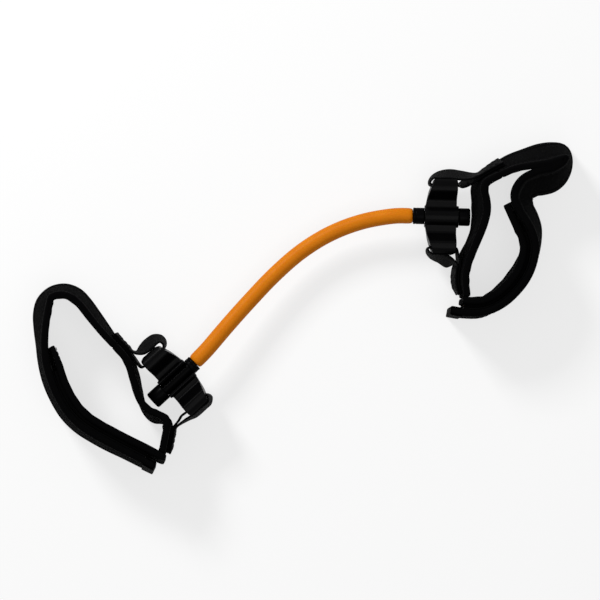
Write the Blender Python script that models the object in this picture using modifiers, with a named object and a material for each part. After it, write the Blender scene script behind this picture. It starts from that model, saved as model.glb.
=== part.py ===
"""Leg resistance band: a latex tube between two padded leg cuffs that close with hook and loop tape.

The object lies on a flat surface at z = 0, with both cuffs standing on the edges of their straps.
Each cuff carries a moulded bracket, held by two loops of webbing. A connector lies in the bracket's
open channel and lifts out of it, and the fitting on the tube's end swivels on the connector's nose.
"""

import math

import bmesh
import bpy
import numpy as np
from mathutils import Matrix, Vector

MM = 0.001

# Running and sewing gaps
GAP = 0.3 * MM

# Latex tube
TUBE_DIAMETER = 11.0 * MM
TUBE_BORE = 6.0 * MM
TUBE_POINT_SPACING = 11.0 * MM

# Fitting on each end of the tube: a collar with a socket behind and a barbed spigot in front
COLLAR_DIAMETER = 11.0 * MM
COLLAR_LENGTH = 5.9 * MM
SPIGOT_LENGTH = 10.0 * MM
BARB_DEPTH = 0.5 * MM
BARB_COUNT = 3

# Connector: a neck in the bracket's channel, a stub behind it and a beaded nose in the collar
NECK_DIAMETER = 8.4 * MM
STUB_DIAMETER = 11.6 * MM
STUB_LENGTH = 9.6 * MM
STUB_CHAMFER = 0.8 * MM
NOSE_DIAMETER = 4.8 * MM
NOSE_LENGTH = 3.1 * MM
BEAD_RISE = 0.7 * MM
BEAD_LENGTH = 2.1 * MM

# Bracket
BRACKET_LENGTH = 54.0 * MM
BRACKET_HEIGHT = 31.0 * MM
BRACKET_END_DEPTH = 16.0 * MM
BRACKET_MIDDLE_DEPTH = 21.4 * MM
END_ROUNDING = 3.0 * MM
WEB_HEIGHT = 9.0 * MM
HUMP_FOOT = 11.0 * MM
HUMP_CREST = 18.5 * MM
SHOULDER_DROP = 6.5 * MM
HOUSING_WALL = 3.1 * MM
HOUSING_FRONT = 21.9 * MM
HOUSING_BACK = 1.6 * MM
LIP_HEIGHT = 7.6 * MM
LIP_ROUNDING = 2.6 * MM
MOUTH_FLARE = 1.2 * MM
BAR_WIDTH = 3.9 * MM

# Webbing loops
WEBBING_WIDTH = 25.0 * MM
WEBBING_THICKNESS = 1.6 * MM
WEBBING_POINT_SPACING = 1.25 * MM
TAIL_LENGTH = 17.0 * MM

# Padded straps
STRAP_HEIGHT = 50.0 * MM
STRAP_THICKNESS = 5.4 * MM
STRAP_EDGE = 1.2 * MM
STRAP_POINT_SPACING = 2.5 * MM
TAB_BLEND = 18.0 * MM
HINGE_CLEARANCE = 0.2 * MM
BAND_FOOT = 2.4 * MM

# Hook and loop tapes, and the binding round the flap's end
TAPE_THICKNESS = 1.2 * MM
TAPE_WIDTH = 44.0 * MM
TAPE_START = 26.0 * MM
TAPE_MARGIN = 3.0 * MM
BINDING_THICKNESS = 0.8 * MM
BINDING_LENGTH = 8.0 * MM

TURNED_SIDES = 24
CURVE_STEPS = 24
AXIS_HEIGHT = STRAP_HEIGHT / 2
CHANNEL_RADIUS = NECK_DIAMETER / 2 + GAP
HOUSING_RADIUS = CHANNEL_RADIUS + HOUSING_WALL
SLOT_WIDTH = WEBBING_THICKNESS + 2.4 * GAP
SLOT_HEIGHT = WEBBING_WIDTH + 3 * GAP
HALF_BRACKET = BRACKET_LENGTH / 2
SLOT_PLACE = HALF_BRACKET - BAR_WIDTH - SLOT_WIDTH / 2

# Stations along the connector's axis, counted from the bracket's back face towards the tube
NECK_BACK = -HOUSING_BACK - GAP
NECK_FRONT = HOUSING_FRONT + GAP
STUB_END = NECK_BACK - STUB_LENGTH
COLLAR_BACK = NECK_FRONT + GAP
COLLAR_FRONT = COLLAR_BACK + COLLAR_LENGTH
TUBE_END = COLLAR_FRONT + GAP

# Half the bracket's length that the hand-chosen routes below were drawn for
DRAWN_HALF_BRACKET = 27.0 * MM

# Each cuff's own strap, from the lower end of its back band round to the end of its closing flap, and
# the tab end of its inner strap. The values are millimetres in the cuff's own frame: distance along the
# connector's axis from the bracket's back face, distance along the bracket, and how far the top edge
# leans outwards. A mark is a place on the route where one section ends, a webbing loop is sewn on or
# the band's lower end is sewn to the inner strap.
LEFT_ROUTES = {
    "band": (
        (-27.2, -29.1, 0.0), (-21.2, -24.6, 0.0), (-15.7, -20.6, 0.0), (-12.9, -17.2, 1.5),
        (-14.5, -13.4, 4.0), (-17.9, -9.0, 6.2), (-19.6, -3.0, 5.5), (-18.5, 4.5, 3.0),
        (-15.0, 12.5, 1.0), (-10.6, 20.0, 0.0), (-6.9, 27.0, 0.0), (-4.6, 32.6, 0.0),
    ),
    "strap": (
        (-3.9, 38.0, 0.0), (-3.9, 48.0, 0.0), (-3.4, 58.0, -2.0), (-2.3, 72.0, -3.5), (-1.2, 84.0, -4.0),
        (-1.8, 92.4, -5.0), (-5.8, 100.0, -6.0), (-13.6, 104.2, -7.5), (-21.2, 102.4, -10.5),
        (-28.8, 98.0, -11.0), (-36.0, 90.8, -9.8), (-43.2, 81.7, -8.5),
    ),
    "flap": (
        (-49.3, 72.9, -8.0), (-55.7, 61.4, -8.5), (-60.3, 49.3, -8.5), (-63.3, 35.0, -8.5),
        (-62.9, 22.2, -8.0), (-60.1, 10.7, -7.5), (-56.2, -0.8, -7.5), (-51.8, -12.3, -7.0),
        (-47.0, -24.9, -7.0), (-43.2, -35.2, -6.5), (-40.2, -43.0, -6.0),
    ),
    "tab": ((-39.2, 76.4, -8.5),),
    "upper_seam": (-4.0, 36.5),
    "lower_seam": (-16.4, -21.1),
    "join": (-3.9, 46.0),
    "hinge": (-43.2, 81.7),
    "flap_end": (-42.9, -35.9),
    "foot": (-42.9, -35.9),
}
RIGHT_ROUTES = {
    "band": (
        (-7.0, -46.8, -4.0), (-6.7, -41.0, -4.5), (-7.9, -34.0, -4.5), (-10.7, -26.0, -4.0),
        (-14.3, -18.0, -3.0), (-17.2, -10.0, -3.5), (-18.8, -3.0, -5.0), (-19.5, 5.0, -6.5),
        (-19.0, 12.0, -6.0), (-17.9, 18.0, -5.0), (-17.9, 22.2, -5.0),
    ),
    "strap": (
        (-20.2, 26.0, -5.0), (-25.0, 29.4, -6.0), (-31.0, 33.5, -8.0), (-40.5, 38.8, -10.0),
        (-52.0, 42.4, -11.5), (-62.0, 45.2, -12.0), (-70.2, 47.2, -9.0), (-76.6, 47.0, -5.0),
        (-80.0, 43.6, -3.5), (-79.6, 38.0, -5.5), (-75.6, 32.8, -8.0), (-69.6, 28.6, -10.5),
        (-63.5, 27.2, -11.2), (-57.0, 25.7, -11.2), (-50.8, 21.8, -11.5), (-47.8, 15.4, -11.5),
        (-49.8, 8.0, -10.0),
    ),
    "flap": (
        (-54.2, 0.6, -9.5), (-57.6, -7.0, -8.5), (-59.2, -18.0, -5.5), (-57.6, -29.0, -3.0),
        (-53.2, -41.0, -1.2), (-45.4, -52.6, -1.0), (-34.6, -62.2, -1.2), (-22.5, -67.4, -2.0),
        (-10.0, -68.2, -2.0), (2.3, -66.6, -2.0), (10.0, -65.2, -2.0),
    ),
    "tab": ((-39.4, 10.4, -7.0), (-43.3, 2.8, -7.5)),
    "upper_seam": (-20.9, 26.4),
    "lower_seam": (-7.7, -34.8),
    "join": (-29.8, 32.6),
    "hinge": (-49.2, 9.4),
    "flap_end": (0.9, -66.8),
    "foot": (-8.8, -68.2),
}

# How far past the flap's end each inner strap reaches
LEFT_INNER_REACH = 4.5 * MM
RIGHT_INNER_REACH = -7.0 * MM

# The loops' free parts, in millimetres: distance along the connector's axis, distance outwards from the
# slot (behind and in front of it) or from the bracket's end (round it), and how far the top edge leans
# along the connector's axis and along the bracket, over the height of a strap
LEFT_UPPER_LOOP = {
    "behind": ((-0.7, 9.5, 0.0, 0.0), (-1.3, 5.5, 0.0, 0.0), (-1.6, 2.6, 0.0, 0.0), (-0.9, 0.5, 0.0, 0.0)),
    "before": ((18.6, 0.1, 0.0, 0.0), (21.4, 1.4, -2.0, 0.0), (23.0, 4.0, -4.0, -1.0)),
    "round": (
        (22.8, 2.2, -5.0, -4.0), (19.8, 4.9, -3.0, -9.0), (13.0, 5.6, 0.0, -11.0), (6.5, 5.7, 0.0, -7.0),
        (3.2, 6.3, 0.0, -1.0),
    ),
}
LEFT_LOWER_LOOP = {
    "behind": ((-7.4, 0.6, 0.0, 0.0), (-3.4, -0.6, 0.0, 0.0), (-1.2, -0.3, 0.0, 0.0)),
    "before": ((18.4, 0.0, 0.0, 0.0), (20.1, 1.2, 0.0, 0.0), (20.6, 3.4, -1.0, 1.0)),
    "round": ((17.6, 1.3, 0.0, 2.0), (12.0, 1.7, 0.0, 2.0), (3.0, 1.4, 0.0, 1.0), (-2.2, 0.2, 0.0, 0.0)),
}
RIGHT_UPPER_LOOP = {
    "behind": ((-13.6, 4.2, 0.0, -6.0), (-8.0, 1.2, 0.0, -6.0), (-3.6, 0.2, 0.0, -4.0), (-1.0, 0.0, 0.0, 0.0)),
    "before": ((18.3, 0.1, 0.0, 0.0), (19.5, 1.5, 0.0, 0.0), (18.9, 3.8, 0.0, 0.0)),
    "round": (
        (16.6, 1.0, 0.0, -2.0), (11.6, 2.9, 0.0, -6.0), (3.0, 3.9, 0.0, -9.0), (-6.0, 2.8, 0.0, -8.5),
        (-13.0, 2.7, 0.0, -6.0),
    ),
}
RIGHT_LOWER_LOOP = {
    "behind": ((-3.9, 8.4, -3.0, 0.0), (-2.3, 5.0, -1.0, 0.0), (-1.6, 2.4, 0.0, 0.0), (-0.9, 0.5, 0.0, 0.0)),
    "before": ((18.3, 0.1, 0.0, 0.0), (19.6, 1.6, 0.0, 0.0), (19.0, 3.9, 0.0, 0.0)),
    "round": ((16.2, 1.4, 0.0, 1.0), (9.2, 3.4, 0.0, 2.5), (2.6, 6.2, -1.5, 1.0)),
}

# The tube's route between its straight ends, in millimetres from the frame's origin, with its sag
TUBE_ROUTE = (
    (-53.4, -10.2, -1.4), (-37.1, 8.1, -3.2), (-20.2, 25.6, -4.4), (-1.5, 41.8, -5.0),
    (19.6, 54.7, -4.5), (42.8, 63.1, -2.7),
)
TUBE_STRAIGHT = 11.0 * MM


class Cuff:
    """One cuff's own frame: its origin on the connector's axis, at the bracket's back face."""

    def __init__(self, side, origin, angle, open_up):
        self.side = side
        self.along = Vector((math.cos(angle), math.sin(angle), 0))
        self.across = Vector((-self.along.y, self.along.x, 0)) * (1 if open_up else -1)
        self.origin = Vector((origin[0], origin[1], AXIS_HEIGHT))
        self.matrix = Matrix.Translation(self.origin) @ Matrix(
            (self.along, self.across, self.along.cross(self.across))
        ).transposed().to_4x4()

    def name(self, piece):
        return f"{self.side}_{piece}"

    def point(self, a, across, z=0.0):
        """A point in the world, with z counted from the surface that the object stands on."""
        flat = self.origin + self.along * a + self.across * across
        return Vector((flat.x, flat.y, z))


LEFT = Cuff("left", (-96.84 * MM, -56.17 * MM), math.radians(42.5), True)
RIGHT = Cuff("right", (106.46 * MM, 65.83 * MM), math.radians(178.5), False)


# The scene starts empty, with one collection for the pieces and one for the cutters
for old in list(bpy.data.objects):
    bpy.data.objects.remove(old)

pieces = bpy.data.collections.new("leg_resistance_band")
cutters = bpy.data.collections.new("cutters")
cutters.hide_render = True
bpy.context.scene.collection.children.link(pieces)
bpy.context.scene.collection.children.link(cutters)


def material(name, colour, roughness):
    made = bpy.data.materials.new(name)
    made.use_nodes = True
    shader = made.node_tree.nodes["Principled BSDF"]
    shader.inputs["Base Color"].default_value = (*colour, 1)
    shader.inputs["Roughness"].default_value = roughness
    shader.inputs["Metallic"].default_value = 0.0
    made.diffuse_color = (*colour, 1)
    return made


LATEX = material("orange_latex", (0.72, 0.17, 0.012), 0.42)
MOULDED = material("moulded_black_plastic", (0.012, 0.012, 0.014), 0.3)
CONNECTOR_PLASTIC = material("connector_plastic", (0.01, 0.01, 0.011), 0.35)
PADDING = material("padded_strap_fabric", (0.008, 0.008, 0.009), 0.85)
WEBBING = material("nylon_webbing", (0.01, 0.01, 0.011), 0.7)
HOOK = material("hook_tape", (0.012, 0.012, 0.012), 0.8)
LOOP = material("loop_tape", (0.009, 0.009, 0.01), 0.95)


def add_piece(name, mesh, finish, collection=pieces):
    made = bpy.data.objects.new(name, mesh)
    collection.objects.link(made)
    if finish:
        mesh.materials.append(finish)
    return made


def turn_about(name, centre, moving):
    """Parent moving pieces to an empty on the axis that they turn about."""
    empty = bpy.data.objects.new(name, None)
    empty.location = centre
    pieces.objects.link(empty)
    for piece in moving:
        piece.parent = empty
        piece.matrix_parent_inverse = Matrix.Translation(centre).inverted()


def smooth_curve(points, spacing):
    """Evenly spaced points on a smooth curve through the given ones."""
    points = np.array(points, float)
    ends = np.vstack([2 * points[0] - points[1], points, 2 * points[-1] - points[-2]])
    steps = np.sqrt(np.linalg.norm(np.diff(ends[:, :2], axis=0), axis=1))
    fine = []
    for i in range(1, len(ends) - 2):
        p0, p1, p2, p3 = ends[i - 1 : i + 3]
        k0, k1, k2 = steps[i - 1 : i + 2]
        out = (p1 - p0) / k0 - (p2 - p0) / (k0 + k1) + (p2 - p1) / k1
        into = (p2 - p1) / k1 - (p3 - p1) / (k1 + k2) + (p3 - p2) / k2
        for t in np.linspace(0, 1, CURVE_STEPS, endpoint=False):
            fine.append(
                (2 * t**3 - 3 * t**2 + 1) * p1
                + (t**3 - 2 * t**2 + t) * k1 * out
                + (3 * t**2 - 2 * t**3) * p2
                + (t**3 - t**2) * k1 * into
            )
    fine = np.array(fine + [points[-1]])
    gone = distances(fine)
    at = np.linspace(0, gone[-1], max(2, round(gone[-1] / spacing) + 1))
    return np.stack([np.interp(at, gone, column) for column in fine.T], axis=1)


def distances(route):
    """How far along a route each of its points lies."""
    return np.concatenate([[0], np.cumsum(np.linalg.norm(np.diff(route[:, :2], axis=0), axis=1))])


def outward(route):
    """Unit vectors at right angles to a route, on its right-hand side, which is the cuff's outside."""
    along = np.gradient(route[:, :2], axis=0)
    along /= np.linalg.norm(along, axis=1)[:, None]
    return np.stack([along[:, 1], -along[:, 0]], axis=1)


def full_route(points):
    """Place, lean and outward direction, two columns each, every millimetre along a smooth curve
    through points whose third value is how far the top edge leans outwards."""
    route = smooth_curve(points, MM)
    normals = outward(route)
    return np.hstack([route[:, :2], normals * route[:, 2:3], normals])


def rerouted(points):
    """The same columns for a smooth curve through points that hold places and leans."""
    route = smooth_curve(np.array(points)[:, :4], MM)
    return np.hstack([route, outward(route)])


def section(route, start, end, away=0.0, spacing=STRAP_POINT_SPACING):
    """The part of a route between two distances along it, moved outwards by away. Its points lie at
    whole multiples of the spacing, so that layers beside each other bend at the same places."""
    gone = distances(route)
    low, high = min(start, end), max(start, end)
    whole = np.arange(math.ceil(low / spacing), math.floor(high / spacing) + 1) * spacing
    clear = spacing / 4
    at = np.concatenate([[low], whole[(whole > low + clear) & (whole < high - clear)], [high]])
    if end < start:
        at = at[::-1]
    cut = np.stack([np.interp(at, gone, column) for column in route.T], axis=1)
    cut[:, :2] += away * cut[:, 4:6]
    return cut


def station(route, mark):
    """How far along a route its nearest point to a mark lies."""
    place = drawn([mark])[0]
    nearest = np.argmin(np.linalg.norm(route[:, :2] - place[:2], axis=1))
    return distances(route)[nearest]


def drawn(points):
    """Hand-chosen points in metres, with those beyond the bracket's ends kept at their distance
    from them."""
    route = np.array(points, float) * MM
    share = np.clip(route[:, 1] / DRAWN_HALF_BRACKET, -1, 1)
    route[:, 1] += share * (HALF_BRACKET - DRAWN_HALF_BRACKET)
    return route


def loft_band(cuff, name, route, thickness, height, edge, finish):
    """A band standing on edge along a route, as high as given and centred on the axis's height."""
    bottom = AXIS_HEIGHT - height / 2
    half = thickness / 2
    section_points = (
        (edge - half, 0), (half - edge, 0), (half, edge), (half, height - edge),
        (half - edge, height), (edge - half, height), (-half, height - edge), (-half, edge),
    )
    if edge == 0:
        section_points = ((-half, 0), (half, 0), (half, height), (-half, height))
    mesh = bmesh.new()
    rings = []
    for a, across, lean_a, lean_across, out_a, out_across in route:
        ring = []
        for u, v in section_points:
            z = bottom + v
            leaned = (z - AXIS_HEIGHT) / STRAP_HEIGHT
            place = cuff.point(
                a + out_a * u + lean_a * leaned, across + out_across * u + lean_across * leaned, z
            )
            ring.append(mesh.verts.new(place))
        rings.append(ring)
    corners = len(section_points)
    for first, second in zip(rings, rings[1:]):
        for k in range(corners):
            after = (k + 1) % corners
            # Facing layers are split along the same diagonal, from low to high
            if section_points[k][1] <= section_points[after][1]:
                mesh.faces.new((first[k], first[after], second[after]))
                mesh.faces.new((first[k], second[after], second[k]))
            else:
                mesh.faces.new((first[k], first[after], second[k]))
                mesh.faces.new((first[after], second[after], second[k]))
    mesh.faces.new(rings[0])
    mesh.faces.new(rings[-1])
    bmesh.ops.recalc_face_normals(mesh, faces=mesh.faces)
    data = bpy.data.meshes.new(name)
    mesh.to_mesh(data)
    mesh.free()
    return add_piece(cuff.name(name), data, finish)


def slab(name, outline, low, high, turn, cuff, collection=pieces, finish=None):
    """A flat outline with the thickness from low to high, as a mesh. turn takes the outline's own
    axes to the cuff's: across and up for an end view, or along and across for a plan."""
    curve = bpy.data.curves.new(name, "CURVE")
    curve.dimensions = "2D"
    curve.fill_mode = "BOTH"
    curve.extrude = (high - low) / 2
    spline = curve.splines.new("POLY")
    spline.points.add(len(outline) - 1)
    for point, (x, y) in zip(spline.points, outline):
        point.co = (x, y, 0, 1)
    spline.use_cyclic_u = True
    flat = bpy.data.objects.new(name, curve)
    collection.objects.link(flat)
    mesh = bpy.data.meshes.new_from_object(flat.evaluated_get(bpy.context.evaluated_depsgraph_get()))
    bpy.data.objects.remove(flat)
    shaped = bmesh.new()
    shaped.from_mesh(mesh)
    bmesh.ops.remove_doubles(shaped, verts=shaped.verts, dist=1e-6)
    bmesh.ops.translate(shaped, verts=shaped.verts, vec=(0, 0, (high + low) / 2))
    bmesh.ops.transform(shaped, verts=shaped.verts, matrix=cuff.matrix @ turn)
    bmesh.ops.recalc_face_normals(shaped, faces=shaped.faces)
    shaped.to_mesh(mesh)
    shaped.free()
    made = add_piece(name, mesh, finish, collection)
    if collection is cutters:
        made.hide_render = True
        made.display_type = "WIRE"
    return made


# An outline's x and y become the cuff's across and up, and its thickness lies along the connector
END_VIEW = Matrix(((0, 0, 1, 0), (1, 0, 0, 0), (0, 1, 0, 0), (0, 0, 0, 1)))
PLAN = Matrix.Identity(4)


def combine(target, other, operation):
    made = target.modifiers.new(other.name, "BOOLEAN")
    made.operation = operation
    made.solver = "EXACT"
    made.object = other


def arc(centre, radius, start, end, count):
    """Points along an arc, by angle in degrees from the outline's x axis."""
    turns = np.radians(np.linspace(start, end, count))
    return [(centre[0] + radius * math.cos(t), centre[1] + radius * math.sin(t)) for t in turns]


def bracket_end_outline():
    """The bracket seen along the connector: a low web between two humps that carry the slots."""
    low, high = WEB_HEIGHT / 2, BRACKET_HEIGHT / 2
    shoulder = SLOT_PLACE - SLOT_WIDTH / 2
    upper = [(0.0, low)]
    for t in np.linspace(0, 1, 7):
        rise = t * t * (3 - 2 * t)
        upper.append((HUMP_FOOT + (HUMP_CREST - HUMP_FOOT) * t, low + (high - low) * rise))
    for t in np.radians(np.linspace(90, 0, 6)):
        place = shoulder + (HALF_BRACKET - shoulder) * math.cos(t)
        upper.append((place, high - SHOULDER_DROP + SHOULDER_DROP * math.sin(t)))
    right = upper + [(x, -z) for x, z in reversed(upper)]
    left = [(-x, z) for x, z in reversed(right) if x > 0]
    return [p for p in right if p[0] > 0] + left


def bracket_plan_outline():
    """The bracket seen from above: a flat back, rounded ends and a bowed front."""
    outline = []
    for across in np.linspace(-HALF_BRACKET + END_ROUNDING, HALF_BRACKET - END_ROUNDING, 13):
        bow = 1 - (across / (HALF_BRACKET - END_ROUNDING)) ** 2
        front = BRACKET_END_DEPTH + (BRACKET_MIDDLE_DEPTH - BRACKET_END_DEPTH) * bow
        outline.append((front, across))
    front = (BRACKET_END_DEPTH - END_ROUNDING, HALF_BRACKET - END_ROUNDING)
    back = (END_ROUNDING, HALF_BRACKET - END_ROUNDING)
    outline += arc(front, END_ROUNDING, 20, 90, 4)
    outline += arc(back, END_ROUNDING, 90, 180, 5)
    outline += [(a, -across) for a, across in reversed(arc(back, END_ROUNDING, 90, 180, 5))]
    outline += [(a, -across) for a, across in reversed(arc(front, END_ROUNDING, 20, 90, 4))]
    return outline


def housing_outline():
    """The housing round the channel: a half-round back with two lips on the open side."""
    side, top = HOUSING_RADIUS - LIP_ROUNDING, LIP_HEIGHT - LIP_ROUNDING
    outline = arc((0, 0), HOUSING_RADIUS, 180, 360, 13)
    outline += arc((side, top), LIP_ROUNDING, 0, 90, 4)
    outline += arc((-side, top), LIP_ROUNDING, 90, 180, 4)
    return outline


def channel_outline():
    """The channel's section: half-round at the bottom, and flared at its mouth."""
    beyond = BRACKET_HEIGHT
    flare = LIP_HEIGHT - 2 * MOUTH_FLARE
    wide = CHANNEL_RADIUS + MOUTH_FLARE
    outline = arc((0, 0), CHANNEL_RADIUS, 180, 360, 13)
    outline += [(CHANNEL_RADIUS, flare), (wide, LIP_HEIGHT + GAP), (wide, beyond)]
    outline += [(-wide, beyond), (-wide, LIP_HEIGHT + GAP), (-CHANNEL_RADIUS, flare)]
    return outline


def make_bracket(cuff):
    beyond = BRACKET_MIDDLE_DEPTH + HOUSING_FRONT
    body = slab(
        cuff.name("bracket"), bracket_end_outline(), -MM, BRACKET_MIDDLE_DEPTH + MM,
        END_VIEW, cuff, finish=MOULDED,
    )
    plan = slab(
        cuff.name("plan_limit"), bracket_plan_outline(), -BRACKET_HEIGHT, BRACKET_HEIGHT, PLAN, cuff, cutters
    )
    housing = slab(
        cuff.name("channel_housing"), housing_outline(), -HOUSING_BACK, HOUSING_FRONT, END_VIEW, cuff, cutters
    )
    channel = slab(cuff.name("channel"), channel_outline(), -beyond, beyond, END_VIEW, cuff, cutters)
    combine(body, plan, "INTERSECT")
    combine(body, housing, "UNION")
    combine(body, channel, "DIFFERENCE")
    for end, place in (("upper", SLOT_PLACE), ("lower", -SLOT_PLACE)):
        half, tall = SLOT_WIDTH / 2, SLOT_HEIGHT / 2
        outline = [(place - half, -tall), (place + half, -tall), (place + half, tall), (place - half, tall)]
        slot = slab(cuff.name(f"{end}_slot"), outline, -beyond, beyond, END_VIEW, cuff, cutters)
        combine(body, slot, "DIFFERENCE")
    return body


def turned(cuff, name, profile, finish):
    """A shape turned about the connector's axis, from (station, radius) pairs from its front end,
    down the outside and, where it has a socket, back up the inside."""
    data = bpy.data.meshes.new(name)
    places = [(radius, 0, along) for along, radius in profile]
    edges = [(k, k + 1) for k in range(len(profile) - 1)]
    data.from_pydata(places, edges, [])
    made = add_piece(cuff.name(name), data, finish)
    made.matrix_world = cuff.matrix @ END_VIEW
    screw = made.modifiers.new("turn", "SCREW")
    screw.axis = "Z"
    screw.steps = TURNED_SIDES
    screw.render_steps = TURNED_SIDES
    screw.use_merge_vertices = True
    screw.merge_threshold = 0.00001
    screw.use_smooth_shade = True
    return made


def make_connector(cuff):
    stub, neck, nose = STUB_DIAMETER / 2, NECK_DIAMETER / 2, NOSE_DIAMETER / 2
    bead = nose + BEAD_RISE
    bead_back = NECK_FRONT + NOSE_LENGTH
    bead_front = bead_back + BEAD_LENGTH
    profile = [
        (bead_front, 0), (bead_front, bead - BEAD_RISE), (bead_front - BEAD_RISE, bead), (bead_back, bead),
        (bead_back, nose), (NECK_FRONT, nose), (NECK_FRONT, neck), (NECK_BACK, neck),
        (NECK_BACK, stub - STUB_CHAMFER / 2), (NECK_BACK - STUB_CHAMFER / 2, stub),
        (STUB_END + STUB_CHAMFER, stub), (STUB_END, stub - STUB_CHAMFER), (STUB_END, 0),
    ]
    return turned(cuff, "connector", profile, CONNECTOR_PLASTIC)


def make_fitting(cuff):
    mouth = NOSE_DIAMETER / 2 + GAP
    socket = mouth + BEAD_RISE
    socket_back = NECK_FRONT + NOSE_LENGTH - GAP
    socket_front = socket_back + BEAD_LENGTH + 2 * GAP
    collar = COLLAR_DIAMETER / 2
    barb = TUBE_BORE / 2 - GAP
    root = barb - BARB_DEPTH
    tip = COLLAR_FRONT + SPIGOT_LENGTH
    pitch = SPIGOT_LENGTH / (BARB_COUNT + 1)
    profile = [(tip, 0), (tip, root)]
    for k in range(BARB_COUNT):
        front = tip - k * pitch
        profile += [(front - pitch, barb), (front - pitch - GAP, root)]
    profile += [
        (COLLAR_FRONT, root), (COLLAR_FRONT, collar - GAP), (COLLAR_FRONT - GAP, collar),
        (COLLAR_BACK + GAP, collar), (COLLAR_BACK, collar - GAP), (COLLAR_BACK, mouth),
        (socket_back, mouth), (socket_back, socket), (socket_front, socket), (socket_front, 0),
    ]
    return turned(cuff, "tube_fitting", profile, CONNECTOR_PLASTIC)


def tube_object(name, line, diameter, collection, finish=None):
    """A round tube along a line of points, made a mesh so that it can be cut or cut with."""
    curve = bpy.data.curves.new(name, "CURVE")
    curve.dimensions = "3D"
    curve.bevel_depth = diameter / 2
    curve.bevel_resolution = 4
    curve.use_fill_caps = True
    spline = curve.splines.new("POLY")
    spline.points.add(len(line) - 1)
    for point, place in zip(spline.points, line):
        point.co = (*place, 1)
    bent = bpy.data.objects.new(name, curve)
    collection.objects.link(bent)
    mesh = bpy.data.meshes.new_from_object(bent.evaluated_get(bpy.context.evaluated_depsgraph_get()))
    bpy.data.objects.remove(bent)
    welded = bmesh.new()
    welded.from_mesh(mesh)
    bmesh.ops.remove_doubles(welded, verts=welded.verts, dist=1e-6)
    bmesh.ops.recalc_face_normals(welded, faces=welded.faces)
    welded.to_mesh(mesh)
    welded.free()
    mesh.shade_smooth()
    return add_piece(name, mesh, finish, collection)


def make_tube():
    """The tube from one collar to the other: straight over the spigots, and sagging between."""
    ends = []
    for cuff in (LEFT, RIGHT):
        face = cuff.point(TUBE_END, 0, AXIS_HEIGHT)
        ends.append([face, face + cuff.along * TUBE_STRAIGHT / 2, face + cuff.along * TUBE_STRAIGHT])
    middle = [(x * MM, y * MM, AXIS_HEIGHT + sag * MM) for x, y, sag in TUBE_ROUTE]
    route = [tuple(p) for p in ends[0]] + middle + [tuple(p) for p in reversed(ends[1])]
    line = smooth_curve(route, TUBE_POINT_SPACING)
    tube = tube_object("resistance_tube", line, TUBE_DIAMETER, pieces, LATEX)
    beyond = np.vstack([line[0] - (line[1] - line[0]) / 2, line, line[-1] - (line[-2] - line[-1]) / 2])
    bore = tube_object("tube_bore", beyond, TUBE_BORE, cutters)
    bore.hide_render = True
    bore.display_type = "WIRE"
    combine(tube, bore, "DIFFERENCE")
    turn_about("swivel_centre", LEFT.origin, [tube])


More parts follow.
